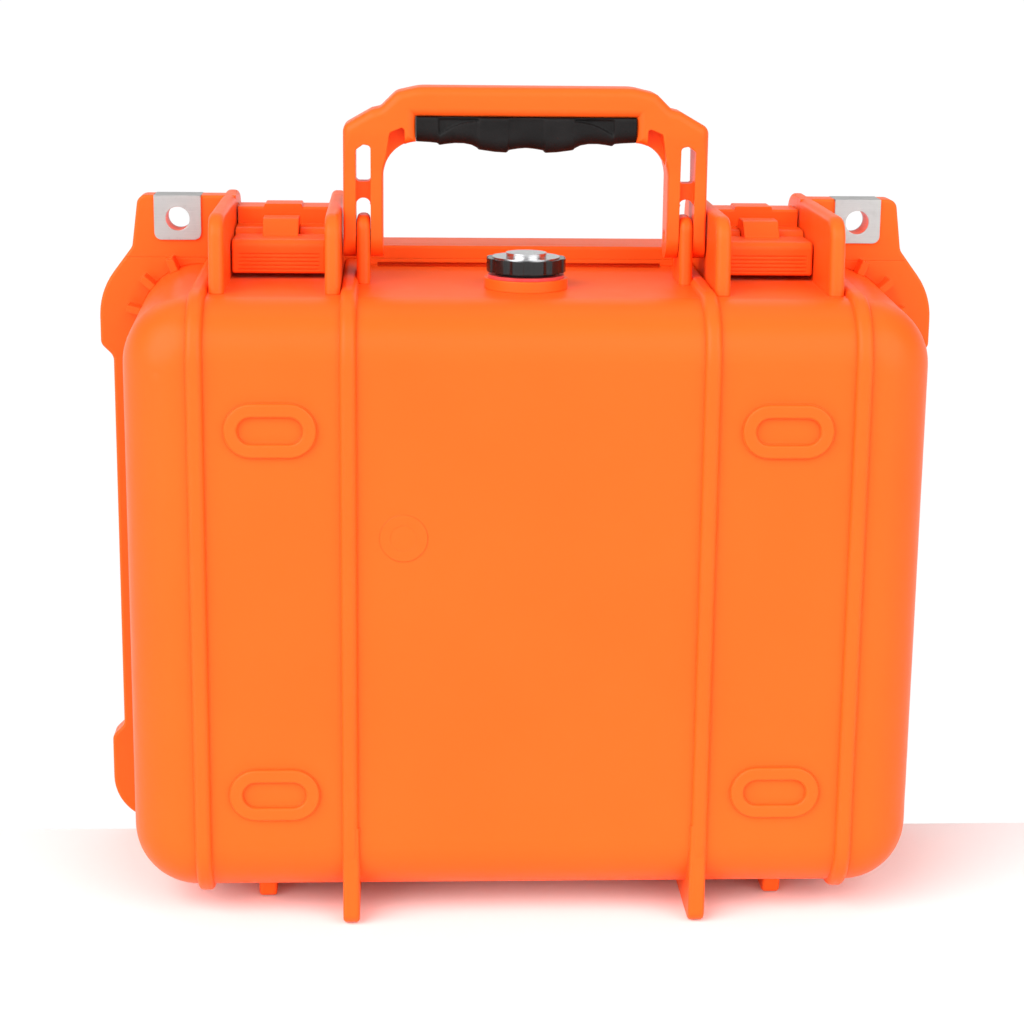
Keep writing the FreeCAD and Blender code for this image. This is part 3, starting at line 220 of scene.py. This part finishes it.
def steel():
    made = Graph("steel", Metallic=1.0)
    lines = made.noise(1.0, 5, made.stretch((70, 900, 3800)), 0.65)
    base = made.colour(lines, (0.46, 0.455, 0.45), (0.62, 0.61, 0.6))
    smudge = made.noise(260, 5, roughness=0.65)
    made.recolour(made.spread(smudge, 0.0, 0.35, 0.52, 0.8), base, (0.36, 0.355, 0.35))
    normal, edge = made.soft_edges(0.0003)
    made.roughness(made.math("ADD", made.spread(lines, 0.22, 0.42), made.spread(smudge, -0.05, 0.08)))
    made.bump(lines, 0.12, 0.00008, normal)
    return made.material


def cap_metal():
    """A turned disc: fine rings around the valve's axis, and a few scratches."""
    low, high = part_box("knob_cap")
    middle = (low + high) / 2
    made = Graph("cap_metal", Metallic=1.0)
    centred = made.add("ShaderNodeMapping")
    made.feed(centred.inputs["Vector"], made.coordinates)
    centred.inputs["Location"].default_value = (-middle.x, -middle.y, 0)
    rings = made.add("ShaderNodeTexWave", wave_type="RINGS", rings_direction="Z")
    made.feed(rings.inputs["Vector"], centred.outputs["Vector"])
    rings.inputs["Scale"].default_value = 700
    rings.inputs["Distortion"].default_value = 1.2
    rings.inputs["Detail"].default_value = 2
    made.colour(rings.outputs["Fac"], (0.42, 0.42, 0.43), (0.62, 0.62, 0.63))
    scratch = made.noise(1.0, 4, made.stretch((260, 3000, 260)), 0.7)
    made.roughness(made.math("ADD", made.spread(rings.outputs["Fac"], 0.1, 0.2),
                             made.spread(scratch, -0.03, 0.1)))
    made.bump(rings.outputs["Fac"], 0.06, 0.00006, made.soft_edges(0.0004)[0])
    return made.material


def rubber(name, first, second, roughness, grain, scale=1700):
    """Matt rubber with a fine pebble and a dusty bloom in places."""
    made = Graph(name, IOR=1.5, Specular_IOR_Level=0.16)
    bloom = made.noise(55, 5, roughness=0.6)
    made.colour(made.spread(bloom, 0, 1, 0.35, 0.72), first, second)
    pebble = made.cells(scale)
    made.roughness(made.math("ADD", made.spread(bloom, roughness - 0.07, roughness + 0.08),
                             made.spread(pebble, -0.04, 0.06)))
    made.bump(made.math("ADD", pebble, made.noise(420, 3)), grain, 0.0002, made.soft_edges(0.0004)[0])
    return made.material


def grip_rubber():
    return rubber("grip_rubber", (0.0035, 0.003, 0.003), (0.009, 0.008, 0.008), 0.5, 0.35)


def seal_rubber():
    return rubber("seal_rubber", (0.014, 0.014, 0.015), (0.03, 0.03, 0.031), 0.6, 0.2)


def red_washer():
    return rubber("red_washer", (0.62, 0.05, 0.05), (0.74, 0.1, 0.09), 0.42, 0.12)


def foam():
    """Charcoal closed-cell foam: open cut cells of two sizes."""
    made = Graph("foam", IOR=1.4, Sheen_Weight=0.15)
    small, large = made.cells(900), made.cells(330)
    mixed = made.math("ADD", made.math("MULTIPLY", small, 0.6), large)
    base = made.colour(made.spread(mixed, 0, 1, 0.1, 0.9), (0.018, 0.019, 0.021), (0.062, 0.064, 0.068))
    made.recolour(made.spread(made.noise(40, 5), 0, 0.3, 0.5, 0.8), base, (0.085, 0.087, 0.09))
    made.roughness(made.spread(small, 0.85, 0.98))
    made.bump(mixed, 0.7, 0.0005)
    return made.material


def woven(name, first, second, stain, threads, strength, sheen=0.25):
    """Cloth: warp and weft as crossed bands, slubs in the thread, and a soft stain."""
    made = Graph(name, IOR=1.45, Sheen_Weight=sheen)
    wobble = made.noise(240, 2)
    warp = made.wave(threads, "DIAGONAL", 0.8)
    weft = made.wave(threads * 1.1, "Z", 0.8)
    thread = made.math("MAXIMUM", warp, weft)
    base = made.colour(made.spread(thread, 0, 1, 0.2, 0.95), first, second)
    made.recolour(made.spread(made.noise(35, 4), 0, 0.4, 0.45, 0.8), base, stain)
    made.roughness(made.spread(wobble, 0.78, 0.95))
    made.bump(made.math("ADD", thread, made.math("MULTIPLY", wobble, 0.5)), strength, 0.0004)
    return made.material


def bandage():
    return woven("bandage", (0.62, 0.55, 0.44), (0.86, 0.81, 0.72), (0.72, 0.64, 0.52), 430, 0.6)


def cotton():
    return woven("cotton", (0.72, 0.71, 0.67), (0.9, 0.89, 0.86), (0.8, 0.78, 0.73), 520, 0.4)


def tape():
    return woven("tape", (0.62, 0.46, 0.33), (0.82, 0.67, 0.52), (0.7, 0.55, 0.42), 700, 0.3, 0.1)


def packet_paper():
    """Medical paper: fibres and soft creases."""
    made = Graph("packet_paper", IOR=1.45, Sheen_Weight=0.05)
    fibre = made.noise(1.0, 4, made.stretch((1600, 1600, 260)), 0.7)
    base = made.colour(fibre, (0.78, 0.79, 0.79), (0.91, 0.92, 0.92))
    made.recolour(made.spread(made.noise(70, 5), 0, 0.35, 0.5, 0.85), base, (0.68, 0.72, 0.75))
    crease = made.cells(75, "DISTANCE_TO_EDGE")
    made.roughness(made.spread(fibre, 0.55, 0.72))
    made.bump(made.math("ADD", made.math("MULTIPLY", made.spread(crease, 1, 0, 0, 0.08), -0.4), fibre),
              0.25, 0.0004)
    return made.material


def foil():
    """Folded metallised film: sharp small crumples in a bright mirror."""
    made = Graph("foil", Metallic=1.0)
    crumple = made.cells(150, "DISTANCE_TO_EDGE")
    fine = made.cells(460)
    made.colour(made.noise(80, 4), (0.72, 0.73, 0.76), (0.88, 0.88, 0.9))
    made.roughness(made.spread(made.noise(120, 4), 0.12, 0.28))
    made.bump(made.math("ADD", crumple, made.math("MULTIPLY", fine, 0.35)), 0.55, 0.0012)
    return made.material


def membrane():
    made = Graph("membrane", IOR=1.4)
    pores = made.cells(3000)
    made.colour(pores, (0.7, 0.7, 0.7), (0.88, 0.88, 0.87))
    made.roughness(made.spread(pores, 0.7, 0.9))
    made.bump(pores, 0.4, 0.0001)
    return made.material


def bottle_plastic():
    made = Graph("bottle_plastic", IOR=1.5, Subsurface_Weight=0.3, Subsurface_Scale=0.003)
    haze = made.noise(50, 4)
    made.colour(haze, (0.72, 0.76, 0.78), (0.84, 0.87, 0.88))
    made.roughness(made.spread(made.noise(300, 4), 0.22, 0.38))
    made.bump(made.noise(700, 3), 0.12, 0.0002, made.soft_edges(0.0008)[0])
    return made.material


MAKERS = {"case_plastic": case_plastic, "steel": steel, "black_plastic": black_plastic,
          "knob_plastic": knob_plastic, "cap_metal": cap_metal, "membrane": membrane,
          "red_washer": red_washer, "seal_rubber": seal_rubber, "grip_rubber": grip_rubber, "foam": foam,
          "bandage": bandage, "packet_paper": packet_paper, "foil": foil, "cotton": cotton,
          "bottle_plastic": bottle_plastic, "cap_plastic": cap_plastic, "tape": tape,
          "core_plastic": core_plastic, "plate_plastic": plate_plastic}
SLOT_OF = {part["node"]: part["material_slot"] for part in frame["record"]["subparts"]}
MATERIALS = {name: MAKERS[name]() for name in sorted(set(SLOT_OF.values()))}

for node, obj in NODES.items():
    obj.data.materials.clear()
    obj.data.materials.append(MATERIALS[SLOT_OF[node]])


# ---------------------------------------------------------------- building pieces

def piece(name, vertices, faces, smooth=True):
    """A mesh object from points in millimetres."""
    mesh = bpy.data.meshes.new(name)
    mesh.from_pydata([Vector(point) * MM for point in vertices], [], faces)
    mesh.validate()
    obj = bpy.data.objects.new(name, mesh)
    bpy.context.scene.collection.objects.link(obj)
    work = bmesh.new()
    work.from_mesh(mesh)
    bmesh.ops.recalc_face_normals(work, faces=work.faces)
    work.to_mesh(mesh)
    work.free()
    mesh.polygons.foreach_set("use_smooth", [smooth] * len(mesh.polygons))
    return obj


def place(obj, node, body):
    """The piece takes over a CAD node: its body, its material slot and its place."""
    obj.data.materials.clear()
    obj.data.materials.append(MATERIALS[SLOT_OF[node]])
    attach(obj, body)
    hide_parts(node)
    return obj


def bake(obj):
    """Puts the result of the object's modifiers into its mesh."""
    bpy.context.view_layer.update()
    shown = obj.evaluated_get(bpy.context.evaluated_depsgraph_get())
    mesh = bpy.data.meshes.new_from_object(shown)
    obj.modifiers.clear()
    obj.data = mesh
    mesh.polygons.foreach_set("use_smooth", [True] * len(mesh.polygons))
    return obj


def remeshed(name, node, voxel):
    """A soft copy of a CAD node, with even faces."""
    mesh = NODES[node].data.copy()
    obj = bpy.data.objects.new(name, mesh)
    bpy.context.scene.collection.objects.link(obj)
    remesh = obj.modifiers.new("even", "REMESH")
    remesh.mode = "VOXEL"
    remesh.voxel_size = voxel
    return bake(obj)


def relaxed(obj, rounds, factor=0.5):
    """Rounds the corners of a mesh."""
    smooth = obj.modifiers.new("relax", "SMOOTH")
    smooth.iterations = rounds
    smooth.factor = factor
    return bake(obj)


def shifted(obj, move):
    """Moves each vertex of a mesh; move gets the point and the normal, both in millimetres."""
    mesh = obj.data
    normals = [vertex.normal.copy() for vertex in mesh.vertices]
    for vertex, normal in zip(mesh.vertices, normals):
        vertex.co = Vector(move(vertex.co / MM, normal)) * MM
    mesh.update()
    return obj


FOAM_VOXEL, PACK_VOXEL = 0.0028, 0.004
CLOTH_FRAMES = 20


# ---------------------------------------------------------------- rubber grip

def steps(value, table):
    """A value read from a table of (place, height), straight between its rows."""
    for (low, first), (high, second) in zip(table, table[1:]):
        if value <= high:
            return first + (second - first) * (value - low) / (high - low)
    return table[-1][1]


grip_low, grip_high = (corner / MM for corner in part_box("handle_grip"))
GRIP_UNDER = [(0.0, 1.7), (3.0, 1.45), (6.6, 0.85), (7.4, 0.1), (12.0, 0.35), (18.2, 1.2), (18.8, 1.9),
              (21.0, 3.0), (24.0, 3.55), (27.5, 3.6), (31.0, 3.2), (33.3, 2.8), (34.0, 3.6), (37.0, 3.9),
              (43.0, 4.2)]


def grip_relief(x, z, under):
    """How far the grip's skin stands out at a place along it, in millimetres."""
    side = abs(x)
    share = (z - under) / (grip_high.z - under)
    if side < 7.0:
        return -0.35
    if side < 18.5:
        return 0.35
    if side < 33.6:
        crown = 0.86 - 0.5 * ((side - 18.5) / 15.1) ** 1.8
        return 0.05 if share < crown else -1.2
    return 0.25


def grip():
    """A moulded grip: rounded underneath, with a wide middle band, finger hollows and raised crescents."""
    front, back, top = grip_low.y, grip_high.y, grip_high.z
    stations, side_points, corner_points, under_points = 190, 19, 13, 9
    corner, overhang, inset = 5.2, 0.12, 0.25
    length = grip_high.x - grip_low.x + 2 * overhang
    rows, vertices, faces = [], [], []
    for number in range(stations + 1):
        x = grip_low.x - overhang + length * number / stations
        under = grip_low.z + steps(abs(x), GRIP_UNDER)
        section = []
        for turn in range(side_points):
            section.append((front, top - (top - under - corner) * turn / (side_points - 1), -1.0, 0.0))
        for turn in range(1, corner_points):
            angle = math.radians(90 * turn / corner_points)
            section.append((front + corner - corner * math.cos(angle),
                            under + corner - corner * math.sin(angle), -math.cos(angle), -math.sin(angle)))
        span = back - front - 2 * corner
        for turn in range(under_points):
            section.append((front + corner + span * turn / (under_points - 1), under, 0.0, -1.0))
        for turn in range(1, corner_points):
            angle = math.radians(90 * turn / corner_points)
            section.append((back - corner + corner * math.sin(angle),
                            under + corner - corner * math.cos(angle), math.sin(angle), -math.cos(angle)))
        for turn in range(side_points):
            rise = (top - under - corner) * turn / (side_points - 1)
            section.append((back, under + corner + rise, 1.0, 0.0))
        row = []
        for y, z, out_y, out_z in section:
            proud = grip_relief(x, z, under)
            fade = min(1.0, max(0.0, (top - z) / 1.2))
            row.append(len(vertices))
            vertices.append((x, y + out_y * (proud * fade - inset), z + out_z * min(proud, 0.0) * 0.6))
        rows.append(row)
    for first, second in zip(rows, rows[1:]):
        for index in range(len(first) - 1):
            faces.append((first[index], first[index + 1], second[index + 1], second[index]))
        faces.append((first[-1], first[0], second[0], second[-1]))
    faces.append(tuple(rows[0]))
    faces.append(tuple(reversed(rows[-1])))
    obj = piece("sculpted_grip", vertices, faces)
    relax = obj.modifiers.new("relax", "SMOOTH")
    relax.iterations, relax.factor = 2, 0.35
    bake(obj)
    return place(obj, "handle_grip", "handle")


grip()


# ---------------------------------------------------------------- rolls

def roll(name, node, radius_share, turns, inner=0.0, ridge=0.7, ragged=0.25, loose=0.0):
    """A strip wound on itself, with its axis along Y: a spiral at both ends and a loose tail."""
    low, high = (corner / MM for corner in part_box(node))
    middle = (low + high) / 2
    radius = (high.x - low.x) / 2 * radius_share
    length = high.y - low.y
    shift = random.random() * 9
    around, across, along = 120, 46, 22
    pitch = (radius - inner) / turns

    def outer(angle):
        wobble = noise.noise(Vector((math.cos(angle) * 1.3 + shift, math.sin(angle) * 1.3, shift)))
        tail = loose * max(0.0, 1 - ((angle + shift) % (2 * math.pi)) / 0.9)
        return radius * (1 - 0.012) + wobble * ragged - abs(ragged) + tail - loose

    vertices, faces, rows = [], [], []
    for side in (1, -1):
        levels = []
        for step in range(across):
            share = step / (across - 1)
            row = []
            for turn in range(around):
                angle = 2 * math.pi * turn / around
                reach = inner + (outer(angle) - inner) * share
                spiral = (reach / pitch - side * angle / (2 * math.pi)) % 1.0
                height = ridge * (abs(spiral - 0.5) * 2) ** 1.5
                rough = 0.35 * noise.noise(Vector((reach * 0.35 + shift, angle * 2, side)))
                edge = 0.7 * max(0.0, (share - 0.93) / 0.07) ** 2
                dome = 0.8 * share
                y = middle.y + side * (length / 2 - 0.2 - height - edge - dome * ridge + min(rough, 0.1))
                row.append(len(vertices))
                vertices.append((middle.x + reach * math.cos(angle), y, middle.z + reach * math.sin(angle)))
            levels.append(row)
        rows.append(levels)
    front, behind = rows
    sleeve = [front[-1]]
    for step in range(1, along):
        share = step / along
        row = []
        for turn in range(around):
            angle = 2 * math.pi * turn / around
            start, end = Vector(vertices[front[-1][turn]]), Vector(vertices[behind[-1][turn]])
            point = start.lerp(end, share)
            swell = 0.12 * noise.noise(Vector((math.cos(angle) * 4, share * 9, math.sin(angle) * 4 + shift)))
            flat = Vector((point.x - middle.x, 0, point.z - middle.z))
            point += flat.normalized() * min(swell, 0.1)
            row.append(len(vertices))
            vertices.append(tuple(point))
        sleeve.append(row)
    sleeve.append(behind[-1])
    for levels in (front, behind, sleeve):
        for first, second in zip(levels, levels[1:]):
            for index in range(around):
                following = (index + 1) % around
                faces.append((first[index], first[following], second[following], second[index]))
    if inner > 0:
        for index in range(around):
            following = (index + 1) % around
            faces.append((front[0][index], front[0][following], behind[0][following], behind[0][index]))
    else:
        faces.append(tuple(front[0]))
        faces.append(tuple(behind[0]))
    obj = piece(name, vertices, faces)
    return place(obj, node, "root")


for number in range(1, 5):
    roll(f"wound_bandage_{number}", f"bandage_roll_{number}", 0.99, 11 + number % 2, 0.9, 0.9, 0.3, 0.4)
for number in (1, 2):
    tape_low, tape_high = (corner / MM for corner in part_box(f"tape_core_{number}"))
    roll(f"wound_tape_{number}", f"tape_roll_{number}", 0.998, 16, (tape_high.x - tape_low.x) / 2 + 0.05,
         0.25, 0.05, 0.15)


# ---------------------------------------------------------------- cloth-simulated packs

def puffed(name, node, shrink, cap, wrinkle):
    """A soft packet: the CAD solid made a little smaller, swollen as cloth, and wrinkled.
    No point swells further than the cap, in millimetres, or leaves the CAD solid's box."""
    obj = remeshed(name, node, PACK_VOXEL)
    low, high = (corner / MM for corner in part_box(node))
    middle = (low + high) / 2
    relaxed(obj, 6)
    shifted(obj, lambda point, normal: [
        middle[axis] + (point[axis] - middle[axis]) * (1 - 2 * shrink / (high[axis] - low[axis]))
        for axis in range(3)])
    start = [vertex.co.copy() for vertex in obj.data.vertices]
    cloth = obj.modifiers.new("swell", "CLOTH")
    cloth.settings.use_pressure = True
    cloth.settings.uniform_pressure_force = 4.0
    cloth.settings.effector_weights.gravity = 0.0
    cloth.settings.quality = 5
    cloth.settings.tension_stiffness = 12
    cloth.settings.compression_stiffness = 12
    cloth.settings.bending_stiffness = 0.4
    for number in range(1, CLOTH_FRAMES + 1):
        bpy.context.scene.frame_set(number)
    bake(obj)
    bpy.context.scene.frame_set(1)
    for vertex, rest in zip(obj.data.vertices, start):
        moved = vertex.co - rest
        if moved.length > cap * MM:
            vertex.co = rest + moved.normalized() * cap * MM
    clear = 0.15
    for vertex in obj.data.vertices:
        for axis in range(3):
            vertex.co[axis] = min(max(vertex.co[axis], (low[axis] + clear) * MM), (high[axis] - clear) * MM)
    relaxed(obj, 2)
    divide = obj.modifiers.new("divide", "SUBSURF")
    divide.levels = divide.render_levels = 1
    bake(obj)
    wrinkle(obj, low, high)
    place(obj, node, "root")
    return obj


def layered(count, depth, tilt):
    """Wrinkles for a stack of sachets: grooves between layers, and small dents."""
    def wrinkle(obj, low, high):
        span = (high.z - low.z) / count

        def move(point, normal):
            place_in = ((point.z + tilt * point.x + 0.8 * noise.noise(point * 0.05)) / span) % 1.0
            groove = depth * max(0.0, 1 - min(place_in, 1 - place_in) * 9) ** 1.5
            dent = 0.45 * noise.noise(point * 0.12)
            return point - normal * (groove + max(dent, 0.0))
        shifted(obj, move)
    return wrinkle


def folded(folds, depth):
    """Wrinkles for folded cloth or film: long folds with soft creases across them."""
    def wrinkle(obj, low, high):
        def move(point, normal):
            bend = 1.4 * noise.noise(Vector((point.x * 0.03, point.y * 0.03, 3.0)))
            fold = ((point.y + bend - low.y) / (high.y - low.y) * folds) % 1.0
            groove = depth * max(0.0, 1 - min(fold, 1 - fold) * 7) ** 1.3
            crease = 0.5 * max(0.0, noise.noise(Vector((point.x * 0.11, point.y * 0.05, point.z * 0.11))))
            return point - normal * (groove + crease)
        shifted(obj, move)
    return wrinkle


puffed("gauze_sachets_1", "gauze_pack_1", 2.2, 5, layered(9, 1.5, 0.03))
puffed("gauze_sachets_2", "gauze_pack_2", 2.2, 5, layered(9, 1.5, -0.04))
puffed("folded_blanket", "foil_blanket", 2.0, 6, folded(7, 1.3))
puffed("folded_triangular", "triangular_bandage", 2.0, 6, folded(6, 1.5))


# ---------------------------------------------------------------- foam

def base_foam():
    """The cut foam block: edges a little crushed, and a faint waviness from the knife."""
    obj = remeshed("cut_foam", "foam_base", FOAM_VOXEL)
    relaxed(obj, 4, 0.5)

    def move(point, normal):
        crush = 0.3 * max(0.0, noise.noise(point * 0.05))
        grain = 0.12 * max(0.0, noise.noise(point * 0.3))
        return point - normal * (0.12 + crush + grain)

    shifted(obj, move)
    place(obj, "foam_base", "root")


def lid_foam():
    """Convoluted foam: rows of rounded peaks on the side that faces the supplies."""
    obj = remeshed("convoluted_foam", "foam_lid", FOAM_VOXEL)
    low, high = (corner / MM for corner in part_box("foam_lid"))
    pitch, depth = 21.0, 9.0

    def move(point, normal):
        inward = min(point.x - low.x, high.x - point.x, point.z - low.z, high.z - point.z)
        share = max(0.0, 1 - (point.y - low.y) / 16.0)
        along, upward = (1 + math.cos(2 * math.pi * place / pitch) for place in (point.x, point.z))
        rise = 0.25 * along * upward
        sink = depth * (1 - rise) * share * min(1.0, max(0.0, inward / 6.0))
        crush = 0.25 * max(0.0, noise.noise(point * 0.2))
        return Vector((point.x, point.y + sink, point.z)) - normal * (0.12 + crush)

    shifted(obj, move)
    relaxed(obj, 2, 0.5)
    place(obj, "foam_lid", "lid")


base_foam()
lid_foam()


# ---------------------------------------------------------------- camera, light and floor

CAMERA_PLACE = Vector((-0.0479, -0.9191, 0.3687))
FOCAL_PIXELS, PICTURE_PIXELS, SENSOR = 2329.0, 1024.0, 36.0
YAW, PITCH, ROLL = math.radians(2.80), math.radians(13.54), math.radians(0.65)


def aim_camera():
    """The camera of the photograph: its place, yaw, pitch and roll."""
    forward = Vector((math.sin(YAW) * math.cos(PITCH), math.cos(YAW) * math.cos(PITCH), -math.sin(PITCH)))
    level = Vector((math.cos(YAW), -math.sin(YAW), 0))
    upright = level.cross(forward)
    right = math.cos(ROLL) * level + math.sin(ROLL) * upright
    up = math.cos(ROLL) * upright - math.sin(ROLL) * level
    lens = bpy.data.cameras.new("photo_camera")
    lens.sensor_width = SENSOR
    lens.lens = FOCAL_PIXELS / PICTURE_PIXELS * SENSOR
    lens.clip_start, lens.clip_end = 0.01, 300
    camera = bpy.data.objects.new("photo_camera", lens)
    turned = Matrix((right, up, -forward)).transposed().to_4x4()
    camera.matrix_world = Matrix.Translation(CAMERA_PLACE) @ turned
    bpy.context.scene.collection.objects.link(camera)
    bpy.context.scene.camera = camera


def world_light():
    """A white room: bright all round at eye level, and dimmer overhead."""
    world = bpy.data.worlds.new("studio")
    world.use_nodes = True
    nodes, links = world.node_tree.nodes, world.node_tree.links
    direction = nodes.new("ShaderNodeTexCoord")
    split = nodes.new("ShaderNodeSeparateXYZ")
    height = nodes.new("ShaderNodeMapRange")
    links.new(direction.outputs["Generated"], split.inputs["Vector"])
    links.new(split.outputs["Z"], height.inputs["Value"])
    limits = {"From Min": 0.1, "From Max": 0.28, "To Min": HORIZON, "To Max": ZENITH}
    for socket, value in limits.items():
        height.inputs[socket].default_value = value
    links.new(height.outputs["Result"], nodes["Background"].inputs["Strength"])
    nodes["Background"].inputs["Color"].default_value = (1, 1, 1, 1)
    bpy.context.scene.world = world


def lamp(kind, name, energy, place_at, target=(0, 0, 0.15), **settings):
    """A light that faces a point."""
    data = bpy.data.lights.new(name, kind)
    data.energy = energy
    for setting, value in settings.items():
        setattr(data, setting, value)
    obj = bpy.data.objects.new(name, data)
    obj.location = place_at
    obj.rotation_euler = (Vector(target) - Vector(place_at)).to_track_quat("-Z", "Y").to_euler()
    bpy.context.scene.collection.objects.link(obj)


HORIZON, ZENITH = 1.02, 0.22
KEYS = (("key_left", -44, 32, 3.3), ("key_right", 38, 28, 2.0))


def studio():
    """Soft light from both sides of the camera, from above and from behind, in a white room.
    The pale floor ends below the hinge line, which leaves the lid room to swing down."""
    world_light()
    for name, azimuth, elevation, energy in KEYS:
        across, up = math.radians(azimuth), math.radians(elevation)
        towards = (math.sin(across) * math.cos(up), -math.cos(across) * math.cos(up), math.sin(up))
        lamp("SUN", name, energy, towards, target=(0, 0, 0), angle=math.radians(58))
    lamp("AREA", "overhead", 2.5, (0.0, 0.1, 1.5), shape="RECTANGLE", size=1.6, size_y=0.7)
    lamp("AREA", "window", 5.0, (0.0, 1.3, 1.2), target=(0, 0, 0.22), shape="RECTANGLE", size=2.6, size_y=0.7)
    wide, edge, under = 90000, 30, -0.3
    floor = piece("floor", [(-wide, -wide, under), (wide, -wide, under), (wide, edge, under),
                            (-wide, edge, under)], [(0, 1, 2, 3)], smooth=False)
    pale = Graph("floor_paper", Roughness=0.9)
    pale.shader.inputs["Specular IOR Level"].default_value = 0.1
    pale.colour(pale.noise(3, 3), (0.955, 0.955, 0.955), (0.965, 0.965, 0.965))
    floor.data.materials.append(pale.material)
    bpy.context.scene.view_settings.view_transform = "Standard"


aim_camera()
studio()
